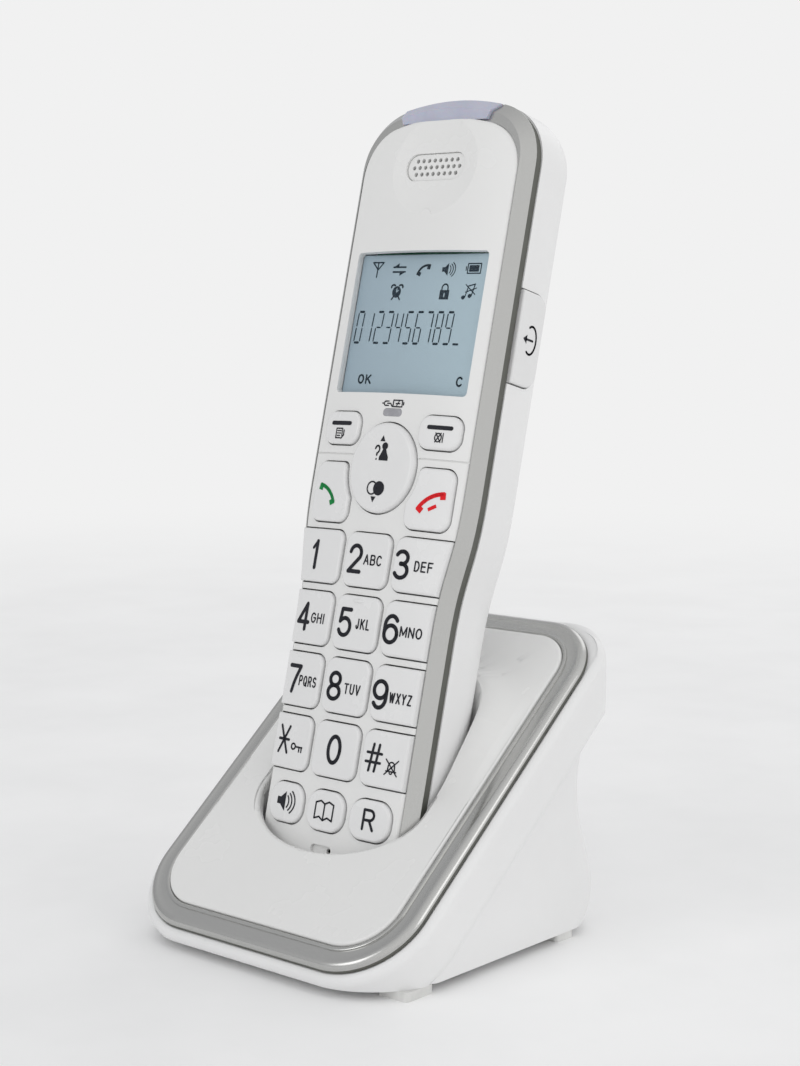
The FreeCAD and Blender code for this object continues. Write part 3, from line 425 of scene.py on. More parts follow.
def gridPiece(name, rows, finish, body, closeRows=False):
    # rows x around x 3 points in metres; columns close on themselves, rows close too when asked,
    # and otherwise the two end rows are filled with a fan
    rows = np.asarray(rows, float)
    count, around = rows.shape[:2]
    index = np.arange(count * around).reshape(count, around)
    upper = np.roll(index, -1, axis=0) if closeRows else index[1:]
    lower = index if closeRows else index[:-1]
    quads = np.stack([lower, np.roll(lower, -1, axis=1), np.roll(upper, -1, axis=1), upper], axis=-1)
    points = rows.reshape(-1, 3)
    faces = quads.reshape(-1, 4).tolist()
    if not closeRows:
        points = np.vstack([points, rows[0].mean(axis=0), rows[-1].mean(axis=0)])
        for ring, middle in ((index[0], count * around), (index[-1], count * around + 1)):
            faces += np.stack([ring, np.roll(ring, -1), np.full(around, middle)], axis=-1).tolist()
    mesh = bpy.data.meshes.new(name)
    mesh.from_pydata(points.tolist(), [], faces)
    work = bmesh.new()
    work.from_mesh(mesh)
    bmesh.ops.remove_doubles(work, verts=work.verts, dist=gridSet["mergeDistance"])
    bmesh.ops.recalc_face_normals(work, faces=work.faces)
    work.to_mesh(mesh)
    work.free()
    mesh.polygons.foreach_set("use_smooth", np.ones(len(mesh.polygons), bool))
    mesh.set_sharp_from_angle(angle=math.radians(gridSet["sharpAngle"]))
    return addPiece(name, mesh, finish, body)


outlineSet = {"cornerSteps": 28, "longRun": 4.0, "runSteps": 24}


def roundedOutline(half, low, high, cornerLow, cornerHigh):
    # rounded rectangle, anticlockwise, with its outward normals: corners are quarter circles, and
    # each long straight run is divided evenly
    points, normals = [], []
    for cx, cy, radius, start in (
        (half - cornerHigh, high - cornerHigh, cornerHigh, 0),
        (-half + cornerHigh, high - cornerHigh, cornerHigh, 90),
        (-half + cornerLow, low + cornerLow, cornerLow, 180),
        (half - cornerLow, low + cornerLow, cornerLow, 270),
    ):
        turn = np.radians(start + np.linspace(0, 90, outlineSet["cornerSteps"]))
        normal = np.stack([np.cos(turn), np.sin(turn)], axis=-1)
        points.append(np.array([cx, cy]) + radius * normal)
        normals.append(normal)
    points, normals = np.vstack(points), np.vstack(normals)
    following = np.roll(points, -1, axis=0)
    isLong = np.linalg.norm(following - points, axis=1) > outlineSet["longRun"]
    runShare = np.linspace(0, 1, outlineSet["runSteps"], endpoint=False)[:, None]
    pieces, turned = [], []
    for i in range(len(points)):
        share = runShare if isLong[i] else np.zeros((1, 1))
        pieces.append(points[i] * (1 - share) + following[i] * share)
        turned.append(np.repeat(normals[i:i + 1], len(share), axis=0))
    return np.vstack(pieces), np.vstack(turned)


def polarReach(outline, centre, angles):
    # distance from the centre to the outline along each angle, read off the dense outline
    offset = outline - centre
    turn = np.arctan2(offset[:, 1], offset[:, 0])
    order = np.argsort(turn)
    return np.interp(angles, turn[order], np.hypot(*offset.T)[order], period=2 * math.pi)


# Silver rim: a profile carried round the rounded rectangle

rimSet = {
    "half": 38.3, "front": 4.5, "back": 103.6, "cornerFront": 17.0, "cornerBack": 15.0,
    "shadeHeight": 0.75,   # the rim's upright foot, up to here, is dark grey: painted shade of the gap under the rim
    "upright": 0.5,       # the largest lean of its normals out of the slope
    # inwards from the outer edge, height above the slope's plane
    "profile": [
        (0.0, 0.05), (0.0, 0.35), (0.05, 0.8), (0.25, 1.25), (0.6, 1.65), (1.05, 1.93), (1.5, 2.03),
        (1.9, 2.0), (2.05, 1.93), (3.0, 1.88), (4.05, 1.84), (4.2, 1.86), (4.27, 2.2), (4.45, 2.3),
        (4.75, 2.3), (5.1, 2.2), (5.3, 1.95), (5.3, 0.05),
    ],
}
rimLine, rimNormal = roundedOutline(rimSet["half"], rimSet["front"], rimSet["back"],
                                    rimSet["cornerFront"], rimSet["cornerBack"])


def rimRows(profile, spread=1):
    # a profile carried round the rim's outline; what lies outside the outline is spread further
    rows = []
    for inset, height in profile:
        flat = rimLine - rimNormal * inset * (spread if inset < 0 else 1)
        rows.append(np.column_stack([flat, np.full(len(flat), height)]))
    return toRow(np.array(rows), coverOrigin, coverAxes)


rim = gridPiece("baseRim", rimRows(rimSet["profile"]), satinSilver, "base", closeRows=True)
# the rim's upright foot takes the dark grey as painted shade in the gap between rim and body
rim.data.materials.append(greyStripeAndRimShade)
paintedShadeFaces = np.zeros(len(rim.data.polygons), dtype=np.int32)
middles = np.zeros(len(rim.data.polygons) * 3)
rim.data.polygons.foreach_get("center", middles)
middles = (middles.reshape(-1, 3) - coverOrigin) / mm
heightOff = middles @ offSlope
facing = np.zeros(len(rim.data.polygons) * 3)
rim.data.polygons.foreach_get("normal", facing)
facingOff = np.abs(facing.reshape(-1, 3) @ offSlope)
paintedShadeFaces[(heightOff < rimSet["shadeHeight"]) & (facingOff < rimSet["upright"])] = 1
rim.data.polygons.foreach_set("material_index", paintedShadeFaces)
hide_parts("base_rim")

# White shoulder under the rim, wider at the rear corners, where the body stands further out
shoulderSet = {
    "cornerSpread": 0.65,
    # inwards from the rim's outer edge, height above the slope's plane
    "profile": [
        (-2.0, -1.8), (-2.0, -1.25), (-1.6, -0.7), (-1.0, -0.45), (-0.2, -0.3), (1.0, -0.3), (1.0, -1.8),
    ],
}
# spread = 1 + 0.65 * 2 |nx ny| at the rear corners, 1 elsewhere
cornering = 2 * np.abs(rimNormal[:, 0] * rimNormal[:, 1]) * (rimNormal[:, 1] > 0)
spread = 1 + shoulderSet["cornerSpread"] * cornering[:, None]
gridPiece("bodyShoulder", rimRows(shoulderSet["profile"], spread), satinWhite, "base",
          closeRows=True)
print("rim and shoulder ready")

# White cover round the opening

coverSet = {
    "half": 32.88, "cornerFront": 11.58, "cornerBack": 9.58,
    "top": 2.7, "edgeRound": 0.6, "edgeSteps": 7, "lipRound": 1.1, "lipSteps": 8,
    "shares": (0.06, 0.96, 26),           # rings between the opening and the outer edge
    "edgeFade": 4,        # the hump fades out over the last quarter of the way to the outer edge
    "lowRing": 1.0,       # height of the ring inside the opening that keeps its foot square
    "mouthHalf": 23.4, "mouthFront": 29.9, "mouthSide": 45.0,
    # the handset's section with its gap: half width, front and back, rear corners, slanting front edges
    "wellHalf": 23.3, "wellFront": -2.7, "wellBack": 21.2, "wellRound": 9.8, "slant": 2.8, "slantWide": 5.5,
    "leanStart": 41.0, "leanReach": 6.0,  # up the slope, where the opening's wall takes the handset's lean
    "humpHeight": 3.0, "humpReach": 8.0, "humpStart": 50.0, "humpFull": 66.0,
    "centre": (0.0, 54.0), "around": 220, "smoothing": (0.1, 0.2, 0.4, 0.2, 0.1),
}
rise = (handsetOrigin - coverOrigin) / mm
alongUp, alongOff = along @ upSlope, along @ offSlope
inwardUp, inwardOff = inward @ upSlope, inward @ offSlope


def wellSection(height):
    # where the handset's outline, grown by its gap, meets a plane at this height above the slope
    half, back, turn = coverSet["wellHalf"], coverSet["wellBack"], coverSet["wellRound"]
    curve = np.radians(np.linspace(0, 90, 30))
    x = np.concatenate([[half - coverSet["slantWide"], half], half - turn + turn * np.cos(curve)])
    y = np.concatenate([[coverSet["wellFront"], coverSet["slant"]], back - turn + turn * np.sin(curve)])
    x, y = np.concatenate([x, -x[::-1]]), np.concatenate([y, y[::-1]])
    depth = (height - rise @ offSlope - y * inwardOff) / alongOff
    return np.column_stack([x, rise @ upSlope + y * inwardUp + depth * alongUp])


def denseLine(points, step=0.25):
    # the same closed outline with points every quarter millimetre
    following = np.roll(points, -1, axis=0)
    pieces = []
    for a, b in zip(points, following):
        share = np.linspace(0, 1, max(2, int(np.linalg.norm(b - a) / step)), endpoint=False)[:, None]
        pieces.append(a + (b - a) * share)
    return np.vstack(pieces)


centre = np.array(coverSet["centre"])
mouthTurn = np.radians(np.linspace(0, 360, 400, endpoint=False))
mouth = np.column_stack([
    coverSet["mouthHalf"] * np.cos(mouthTurn),
    coverSet["mouthSide"] + (coverSet["mouthSide"] - coverSet["mouthFront"]) * np.sin(mouthTurn),
])
mouthLine = denseLine(mouth)
outerLine, _ = roundedOutline(coverSet["half"], coverPlace["front"], coverPlace["back"],
                              coverSet["cornerFront"], coverSet["cornerBack"])
outerLine = denseLine(outerLine)
sectionLine = denseLine(wellSection(coverSet["top"]))


def evenAngles(outline, count=coverSet["around"]):
    # angles, seen from the centre, of points at even steps along an outline
    steps = np.linalg.norm(np.roll(outline, -1, axis=0) - outline, axis=1)
    place = np.concatenate([[0], np.cumsum(steps)[:-1]])
    wanted = np.linspace(0, steps.sum(), count, endpoint=False)
    index = np.clip(np.searchsorted(place, wanted), 0, len(outline) - 1)
    offset = outline[index] - centre
    return np.arctan2(offset[:, 1], offset[:, 0])


angles = np.unique(np.round(np.concatenate([evenAngles(outerLine), evenAngles(sectionLine)]), 4))
inner = np.maximum(polarReach(mouthLine, centre, angles), polarReach(sectionLine, centre, angles))
inner = np.convolve(np.concatenate([inner[-2:], inner, inner[:2]]), coverSet["smoothing"], "valid")
outer = polarReach(outerLine, centre, angles)
ray = np.column_stack([np.cos(angles), np.sin(angles)])
innerPoint = centre + ray * inner[:, None]
leans = np.clip((innerPoint[:, 1] - coverSet["leanStart"]) / coverSet["leanReach"], 0, 1)
lean = alongUp / alongOff


def coverRow(share, height, leanHeight=0.0):
    # a ring of the cover: share runs from 0 at the opening to 1 at the outer edge, and the rear of
    # the ring is moved up the slope by the handset's lean over leanHeight
    place = centre + ray * (inner + (outer - inner) * share)[:, None]
    rows = np.column_stack([place, np.broadcast_to(height, inner.shape)])
    rows[:, 1] += leans * leanHeight * lean
    return rows


def humpAt(gap, y):
    # height = full * rise from start to full up the slope * fade with the distance from the opening
    up = np.clip((y - coverSet["humpStart"]) / (coverSet["humpFull"] - coverSet["humpStart"]), 0, 1)
    up = up * up * (3 - 2 * up)
    return coverSet["humpHeight"] * up * np.exp(-(gap / coverSet["humpReach"]) ** 2)


span = outer - inner
top, under = coverSet["top"], coverPlace["under"]
coverRows = []
for height in (under, coverSet["lowRing"], top - coverSet["lipRound"]):
    coverRows.append(coverRow(0.0, height, height - top))
crest = humpAt(0.0, innerPoint[:, 1])
for turn in np.radians(np.linspace(0, 90, coverSet["lipSteps"])):
    gap = coverSet["lipRound"] * (1 - np.cos(turn))
    lift = crest * np.sin(turn)
    height = top - coverSet["lipRound"] * (1 - np.sin(turn)) + lift
    coverRows.append(coverRow(gap / span, height, height - top))
for share in np.linspace(*coverSet["shares"]):
    place = centre + ray * (inner + span * share)[:, None]
    gap = span * share
    lift = humpAt(gap, place[:, 1]) * np.clip((1 - share) * coverSet["edgeFade"], 0, 1)
    coverRows.append(coverRow(share, top + lift, lift))
for turn in np.radians(np.linspace(0, 90, coverSet["edgeSteps"])):
    gap = coverSet["edgeRound"] * (1 - np.sin(turn))
    coverRows.append(coverRow(1 - gap / span, top - coverSet["edgeRound"] * (1 - np.cos(turn))))
coverRows.append(coverRow(1.0, under))
cover = gridPiece("baseCover", toRow(np.array(coverRows), coverOrigin, coverAxes), glossWhite, "base",
                  closeRows=True)
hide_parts("base_cover")
print("cover ready")

# Prints on keys, shell and panel

faceSet = {
    "half": 22.5, "crown": 1.9, "keyProud": 0.9, "navProud": 1.2,
    "inkProud": 0.06,     # a print's height above its surface
    "strip": 1.2,         # a print is cut this wide, to follow the crown
}
crownRadius = (faceSet["half"] ** 2 + faceSet["crown"] ** 2) / (2 * faceSet["crown"])


def faceDepth(x, proud):
    # depth of the crowned face at x, from its front edges: an arc of the crown's radius
    return crownRadius - faceSet["crown"] - np.sqrt((crownRadius + proud) ** 2 - x * x)


def strokeShapes(line, width, closed=False):
    # a bar along each run of the line, and a disc on each of its points
    line = [np.array(point, float) for point in line]
    runs = list(zip(line, line[1:] + line[:1])) if closed else list(zip(line, line[1:]))
    shapes = []
    for a, b in runs:
        side = np.array([a[1] - b[1], b[0] - a[0]])
        side *= width / 2 / np.linalg.norm(side)
        shapes.append([a + side, a - side, b - side, b + side])
    turn = np.radians(np.arange(0, 360, 30))
    ring = np.column_stack([np.cos(turn), np.sin(turn)]) * width / 2
    return shapes + [list(point + ring) for point in line]


def drawing(*strokes):
    # several open strokes, each a width and then its points
    return [shape for width, *line in strokes for shape in strokeShapes(line, width)]


def arcLine(cx, cz, rx, rz, start, end, steps=14):
    # points of an elliptical arc, angles in degrees
    turn = np.radians(np.linspace(start, end, steps))
    return [(cx + rx * math.cos(t), cz + rz * math.sin(t)) for t in turn]


def moveShapes(shapes, x, z, size=1.0, turn=0.0):
    # shapes scaled, turned and moved in their plane
    c, s = math.cos(math.radians(turn)), math.sin(math.radians(turn))
    spin = np.array([[c, s], [-s, c]]) * size
    return [[np.asarray(p, float) @ spin + (x, z) for p in shape] for shape in shapes]


# Narrow even-stroke lettering: each sign is a few lines in a box from -0.5 to 0.5. A tuple of
# six numbers is an arc: centre, half width, half height, start and end in degrees.
signs = {
    "0": [[(0, 0, 0.5, 0.5, 0, 360)]],
    "2": [[(-0.02, 0.21, 0.47, 0.29, 172, -32), (-0.5, -0.5), (0.5, -0.5)]],
    "3": [[(-0.02, 0.26, 0.45, 0.24, 155, -80), (-0.08, 0.02)],
          [(-0.08, 0.04), (0, -0.23, 0.5, 0.27, 80, -155)]],
    "4": [[(0.22, -0.5), (0.22, 0.5), (-0.5, -0.22), (0.5, -0.22)]],
    "5": [[(0.42, 0.5), (-0.34, 0.5), (-0.42, 0.02), (0.0, -0.17, 0.5, 0.33, 125, -155)]],
    "6": [[(0, -0.18, 0.5, 0.32, 0, 360)], [(-0.5, -0.18), (0.0, 0.13, 0.5, 0.37, 180, 35)]],
    "7": [[(-0.5, 0.5), (0.5, 0.5), (0.2, 0.12), (0.0, -0.2), (-0.12, -0.5)]],
    "8": [[(0, 0.26, 0.43, 0.24, 0, 360)], [(0, -0.24, 0.5, 0.26, 0, 360)]],
    "9": [[(0, 0.18, 0.5, 0.32, 0, 360)], [(0.5, 0.18), (0.0, -0.13, 0.5, 0.37, 0, -145)]],
    "A": [[(-0.5, -0.5), (0, 0.5), (0.5, -0.5)], [(-0.32, -0.16), (0.32, -0.16)]],
    "B": [[(-0.45, -0.5), (-0.45, 0.5), (0.1, 0.265, 0.33, 0.235, 90, -90), (-0.45, 0.03)],
          [(0.1, 0.03), (0.1, -0.235, 0.38, 0.265, 90, -90), (-0.45, -0.5)]],
    "C": [[(0, 0, 0.5, 0.5, 42, 318)]],
    "D": [[(-0.45, -0.5), (-0.45, 0.5), (-0.05, 0, 0.53, 0.5, 90, -90), (-0.45, -0.5)]],
    "E": [[(0.45, 0.5), (-0.45, 0.5), (-0.45, -0.5), (0.45, -0.5)], [(-0.45, 0.03), (0.36, 0.03)]],
    "F": [[(0.45, 0.5), (-0.45, 0.5), (-0.45, -0.5)], [(-0.45, 0.03), (0.34, 0.03)]],
    "G": [[(0, 0, 0.5, 0.5, 42, 338), (0.5, 0.0), (0.08, 0.0)]],
    "H": [[(-0.45, 0.5), (-0.45, -0.5)], [(0.45, 0.5), (0.45, -0.5)], [(-0.45, 0.03), (0.45, 0.03)]],
    "I": [[(0, 0.5), (0, -0.5)]],
    "J": [[(0.35, 0.5), (-0.02, -0.2, 0.37, 0.3, 0, -180)]],
    "K": [[(-0.45, 0.5), (-0.45, -0.5)], [(0.42, 0.5), (-0.45, -0.12)], [(-0.12, 0.1), (0.5, -0.5)]],
    "L": [[(-0.42, 0.5), (-0.42, -0.5), (0.45, -0.5)]],
    "M": [[(-0.5, -0.5), (-0.5, 0.5), (0, -0.35), (0.5, 0.5), (0.5, -0.5)]],
    "N": [[(-0.45, -0.5), (-0.45, 0.5), (0.45, -0.5), (0.45, 0.5)]],
    "O": [[(0, 0, 0.5, 0.5, 0, 360)]],
    "P": [[(-0.45, -0.5), (-0.45, 0.5), (0.1, 0.24, 0.37, 0.26, 90, -90), (-0.45, -0.02)]],
    "Q": [[(0, 0, 0.5, 0.5, 0, 360)], [(0.12, -0.22), (0.5, -0.55)]],
    "R": [[(-0.45, -0.5), (-0.45, 0.5), (0.1, 0.24, 0.37, 0.26, 90, -90), (-0.45, -0.02)],
          [(0.08, -0.02), (0.48, -0.5)]],
    "S": [[(0, 0.25, 0.42, 0.25, 28, 270), (0, -0.25, 0.46, 0.25, 90, -152)]],
    "T": [[(-0.5, 0.5), (0.5, 0.5)], [(0, 0.5), (0, -0.5)]],
    "U": [[(-0.45, 0.5), (0, -0.13, 0.45, 0.37, 180, 360), (0.45, 0.5)]],
    "V": [[(-0.5, 0.5), (0, -0.5), (0.5, 0.5)]],
    "W": [[(-0.5, 0.5), (-0.25, -0.5), (0, 0.42), (0.25, -0.5), (0.5, 0.5)]],
    "X": [[(-0.48, 0.5), (0.48, -0.5)], [(0.48, 0.5), (-0.48, -0.5)]],
    "Y": [[(-0.5, 0.5), (0, 0.0), (0.5, 0.5)], [(0, 0.0), (0, -0.5)]],
    "Z": [[(-0.45, 0.5), (0.45, 0.5), (-0.45, -0.5), (0.45, -0.5)]],
    "?": [[(0.0, 0.24, 0.48, 0.26, 170, -62), (0, -0.05), (0, -0.2)], [(0, -0.5), (0, -0.49)]],
}
letterSet = {
    "shares": {"I": 0.15, "M": 1.2, "W": 1.35, "J": 0.75, "L": 0.8},   # widths beside the usual letter's
    "gap": 0.7,           # between letters, in strokes
    "arcStep": 15,        # degrees
}


def wordShapes(word, x, z, width, height, stroke):
    # signs side by side in a box of this width and height about a centre
    gap = stroke * (letterSet["gap"] if len(word) > 1 else 0)
    shares = [letterSet["shares"].get(sign, 1.0) for sign in word]
    unit = (width - stroke * len(word) - gap * (len(word) - 1)) / sum(shares)
    shapes, left = [], x - width / 2
    for sign, share in zip(word, shares):
        centreX = left + (stroke + unit * share) / 2
        for line in signs[sign]:
            points = []
            for part in line:
                if len(part) == 2:
                    points.append(part)
                else:
                    steps = max(5, int(abs(part[5] - part[4]) / letterSet["arcStep"]))
                    points += arcLine(*part, steps=steps)
            placed = [(centreX + px * unit * share, z + pz * (height - stroke)) for px, pz in points]
            shapes += strokeShapes(placed, stroke)
        left += stroke + unit * share + gap
    return shapes


def flatMesh(name, shapes, strip=None):
    # shapes filled with triangles, cut into strips across x when asked, and the mesh's points
    work = bmesh.new()
    for shape in shapes:
        work.faces.new([work.verts.new(point) for point in shape])
    bmesh.ops.triangulate(work, faces=work.faces)
    if strip:
        low = min(v.co.x for v in work.verts)
        high = max(v.co.x for v in work.verts)
        for x in np.arange(low + strip, high, strip):
            geometry = work.verts[:] + work.edges[:] + work.faces[:]
            bmesh.ops.bisect_plane(work, geom=geometry, plane_co=(x, 0, 0), plane_no=(1, 0, 0))
    mesh = bpy.data.meshes.new(name)
    work.to_mesh(mesh)
    work.free()
    points = np.zeros(len(mesh.vertices) * 3)
    mesh.vertices.foreach_get("co", points)
    return mesh, points.reshape(-1, 3)


def printPiece(name, shapes, body, finish, proud=None, depth=None):
    # flat shapes laid on the crowned face, or at one depth behind it
    mesh, points = flatMesh(name, [[(p[0], 0.0, p[1]) for p in shape] for shape in shapes], faceSet["strip"])
    points[:, 1] = depth if depth is not None else faceDepth(points[:, 0], proud) - faceSet["inkProud"]
    mesh.vertices.foreach_set("co", toRow(points, handsetOrigin, handsetAxes).ravel())
    mesh.update()
    normals = np.zeros(len(mesh.polygons) * 3)
    mesh.polygons.foreach_get("normal", normals)
    if (normals.reshape(-1, 3) @ inward).sum() > 0:
        mesh.flip_normals()
    return addPiece(name, mesh, finish, body)


def keyPrint(key, shapes, finish=darkInk):
    printPiece("print_" + key, shapes, key, finish, proud=faceSet["keyProud"])


digitSet = {
    "stroke": 0.92, "height": 6.7, "width": 4.3, "letterStroke": 0.36, "letterHeight": 2.4,
    # key, digit, its centre, letters, their centre and width
    "keys": [
        ("key_2", "2", (-2.95, 71.9), "ABC", (2.2, 71.9), 5.3),
        ("key_3", "3", (10.3, 71.7), "DEF", (16.1, 71.7), 4.9),
        ("key_4", "4", (-16.4, 57.7), "GHI", (-11.7, 57.6), 4.4),
        ("key_5", "5", (-3.0, 57.6), "JKL", (2.3, 57.6), 4.1),
        ("key_6", "6", (10.3, 57.5), "MNO", (15.6, 57.3), 5.8),
        ("key_7", "7", (-16.1, 43.5), "PQRS", (-11.6, 43.3), 5.8),
        ("key_8", "8", (-2.95, 43.4), "TUV", (2.3, 43.2), 4.7),
        ("key_9", "9", (10.2, 43.2), "WXYZ", (15.7, 42.9), 5.9),
        ("key_0", "0", (0.0, 29.6), "", (0, 0), 0),
    ],
}
for node, digit, (x, z), letters, (lx, lz), letterWidth in digitSet["keys"]:
    shapes = wordShapes(digit, x, z, digitSet["width"], digitSet["height"], digitSet["stroke"])
    if letters:
        shapes += wordShapes(letters, lx, lz, letterWidth, digitSet["letterHeight"], digitSet["letterStroke"])
    keyPrint(node, shapes)
# the 1 has no letters beside it, so its strokes are placed on the key themselves
keyPrint("key_1", drawing((0.95, (-15.75, 68.9), (-15.75, 74.9)), (0.75, (-15.75, 74.9), (-16.9, 73.4))))

# centres of the signs, across the face and up the handset
signPlace = {
    "star": (-16.1, 29.8), "lockKey": (-11.6, 28.3), "hash": (11.3, 29.6), "mutedBell": (16.2, 28.2),
    "speaker": (-12.1, 16.3), "book": (0.0, 16.0), "recall": (12.5, 16.25),
    "note": (-14.6, 99.85), "microphone": (14.4, 100.1), "question": (-1.45, 95.85),
    "call": (-15.4, 86.0), "end": (15.2, 86.1), "endCradle": (15.8, 84.7),
    "panelAerial": (-14.2, 138.6), "panelArrows": (-7.6, 138.6), "panelCall": (-0.35, 138.5),
    "panelSpeaker": (6.95, 138.5), "panelBattery": (14.1, 138.65), "panelClock": (-7.4, 133.4),
    "panelPadlock": (6.75, 133.4), "panelTune": (13.8, 133.4),
    "panelOk": (-12.7, 113.1), "panelC": (15.2, 113.2),
}
mutedBell = drawing(
    (0.32, (-1.3, -0.9), (1.3, -0.9)), (0.32, (-0.9, -0.8), (-0.8, 0.3)), (0.32, (0.9, -0.8), (0.8, 0.3)),
    (0.32, *arcLine(0, 0.2, 0.8, 0.9, 0, 180)), (0.28, *arcLine(0, -1.1, 0.35, 0.35, 180, 360, 8)),
    (0.3, (-1.6, 1.6), (1.6, -1.7)), (0.3, (-1.6, -1.7), (1.6, 1.6)))
lockKey = drawing(
    (0.38, *arcLine(-1.1, 0.25, 0.65, 0.65, 0, 360, 16)), (0.38, (-0.45, 0.25), (1.75, 0.25)),
    (0.38, (0.85, 0.2), (0.85, -0.75)), (0.38, (1.6, 0.2), (1.6, -0.75)))
star = drawing((0.62, (-1.45, -2.95), (1.45, 2.95)), (0.62, (-1.45, 2.95), (1.45, -2.95)),
               (0.62, (-1.6, 0), (1.6, 0)))
keyPrint("key_star", moveShapes(star, *signPlace["star"]) + moveShapes(lockKey, *signPlace["lockKey"]))
hashSign = drawing((0.62, (-0.95, -2.9), (-0.35, 2.9)), (0.62, (0.55, -2.9), (1.15, 2.9)),
                   (0.6, (-1.85, 1.0), (2.0, 1.0)), (0.6, (-2.0, -1.0), (1.85, -1.0)))
keyPrint("key_hash", moveShapes(hashSign, *signPlace["hash"])
         + moveShapes(mutedBell, *signPlace["mutedBell"]))

speaker = [[(-2.9, -0.8), (-1.7, -0.8), (-1.7, 0.8), (-2.9, 0.8)],
           [(-1.7, -0.9), (-0.2, -2.2), (-0.2, 2.2), (-1.7, 0.9)]]
speaker += drawing((0.38, *arcLine(-0.6, 0, 1.5, 1.7, -48, 48)), (0.38, *arcLine(-0.6, 0, 2.5, 2.4, -50, 50)),
                   (0.38, *arcLine(-0.6, 0, 3.5, 3.1, -50, 50)))
keyPrint("speaker_key", moveShapes(speaker, *signPlace["speaker"]))
book = drawing((0.4, (0, 1.6), (-1.2, 2.2), (-2.6, 1.7), (-2.6, -1.8), (-1.2, -1.3), (0, -2.0)),
               (0.4, (0, 1.6), (1.2, 2.2), (2.6, 1.7), (2.6, -1.8), (1.2, -1.3), (0, -2.0)),
               (0.4, (0, 1.6), (0, -2.0)))
keyPrint("phonebook_key", moveShapes(book, *signPlace["book"]))
keyPrint("recall_key", wordShapes("R", *signPlace["recall"], 3.5, 4.8, 0.62))

note = drawing(
    (0.3, (-1.2, 1.1), (0.8, 1.1), (0.8, -0.6)), (0.3, (-1.2, 1.1), (-1.2, -1.1)),
    (0.3, (-1.2, -1.1), (0.3, -1.1)), (0.26, (-0.8, 0.55), (0.4, 0.55)), (0.26, (-0.8, 0.0), (0.4, 0.0)),
    (0.26, (-0.8, -0.55), (0.1, -0.55)), (0.34, (1.35, 0.7), (1.35, -0.4), (0.6, -1.2)))
microphone = drawing((0.28, (-0.7, 1.0), (0.7, -1.0)), (0.28, (-0.7, -1.0), (0.7, 1.0)),
                     (0.3, *arcLine(0, 0, 0.85, 0.95, 0, 360, 18)), (0.24, (1.25, -1.0), (1.25, 1.0)))
keyPrint("soft_key_left", drawing((0.95, (-17.3, 102.2), (-11.6, 102.2)))
         + moveShapes(note, *signPlace["note"]))
keyPrint("soft_key_right", drawing((0.95, (11.6, 102.3), (17.5, 102.3)))
         + moveShapes(microphone, *signPlace["microphone"]))

# On the rocker: two arrows, a person with a question mark, and two overlapping discs
navSigns = [[(-1.05, 98.4), (0.45, 98.4), (-0.3, 99.75)], [(-1.25, 85.95), (0.25, 85.95), (-0.5, 84.6)]]
navSigns += [arcLine(0.62, 97.35, 0.85, 0.85, 0, 340, 18)]
navSigns += [[(-0.68, 94.1), (1.92, 94.1), (1.92, 94.9), (1.4, 95.9), (1.05, 96.7), (0.2, 96.7),
              (-0.15, 95.9), (-0.68, 94.9)]]
navSigns += wordShapes("?", *signPlace["question"], 1.7, 3.45, 0.42)
navSigns += strokeShapes(arcLine(-1.3, 87.85, 1.35, 1.42, 0, 360, 22), 0.36)
navSigns += [arcLine(0.7, 87.85, 1.6, 1.62, 0, 342, 20)]
printPiece("print_nav_rocker", navSigns, "nav_rocker", darkInk, proud=faceSet["navProud"])

# Raised bar that the finger finds on the 5 key: half of a long ellipsoid
barSet = {"x": 0.0, "z": 62.6, "halfLength": 1.5, "halfHeight": 0.42, "rise": 0.4, "sunk": 0.02}
barRows = []
for turn in np.radians(np.linspace(4, 90, 9)):
    ringTurn = np.radians(np.arange(0, 360, 12))
    ringX = barSet["x"] + barSet["halfLength"] * np.sin(turn) * np.cos(ringTurn)
    ringZ = barSet["z"] + barSet["halfHeight"] * np.sin(turn) * np.sin(ringTurn)
    ringY = faceDepth(ringX, faceSet["keyProud"]) - barSet["rise"] * np.cos(turn) + barSet["sunk"]
    barRows.append(np.column_stack([ringX, ringY, ringZ]))
gridPiece("raised_bar_key_5", toRow(np.array(barRows), handsetOrigin, handsetAxes), keyWhite, "key_5")


def receiverShapes(span, bow, bar, lobe):
    # a receiver: the bar is an arc through both ends, and each lobe is a block turned with the arc
    line = [(span * t, bow * (1 - (2 * t) ** 2)) for t in np.linspace(-0.5, 0.5, 13)]
    shapes = strokeShapes(line, bar)
    for side in (-1, 1):
        tilt = math.degrees(math.atan2(4 * bow, span)) * -side
        block = [(-lobe[0] / 2, -lobe[1]), (lobe[0] / 2, -lobe[1]), (lobe[0] / 2, 0.3), (-lobe[0] / 2, 0.3)]
        shapes += moveShapes([block], side * (span / 2 - 0.2), 0.1, turn=tilt)
    return shapes


keyPrint("call_key", moveShapes(receiverShapes(6.2, 0.75, 0.85, (1.25, 1.2)), *signPlace["call"], turn=-38),
         greenInk)
endShapes = moveShapes(receiverShapes(7.2, 0.85, 0.95, (1.4, 1.25)), *signPlace["end"], turn=30)
cradle = [(-1.1, -0.4), (1.1, -0.4), (1.1, 0.4), (-1.1, 0.4)]
endShapes += moveShapes([cradle], *signPlace["endCradle"], turn=27)
keyPrint("end_key", endShapes, redInk)

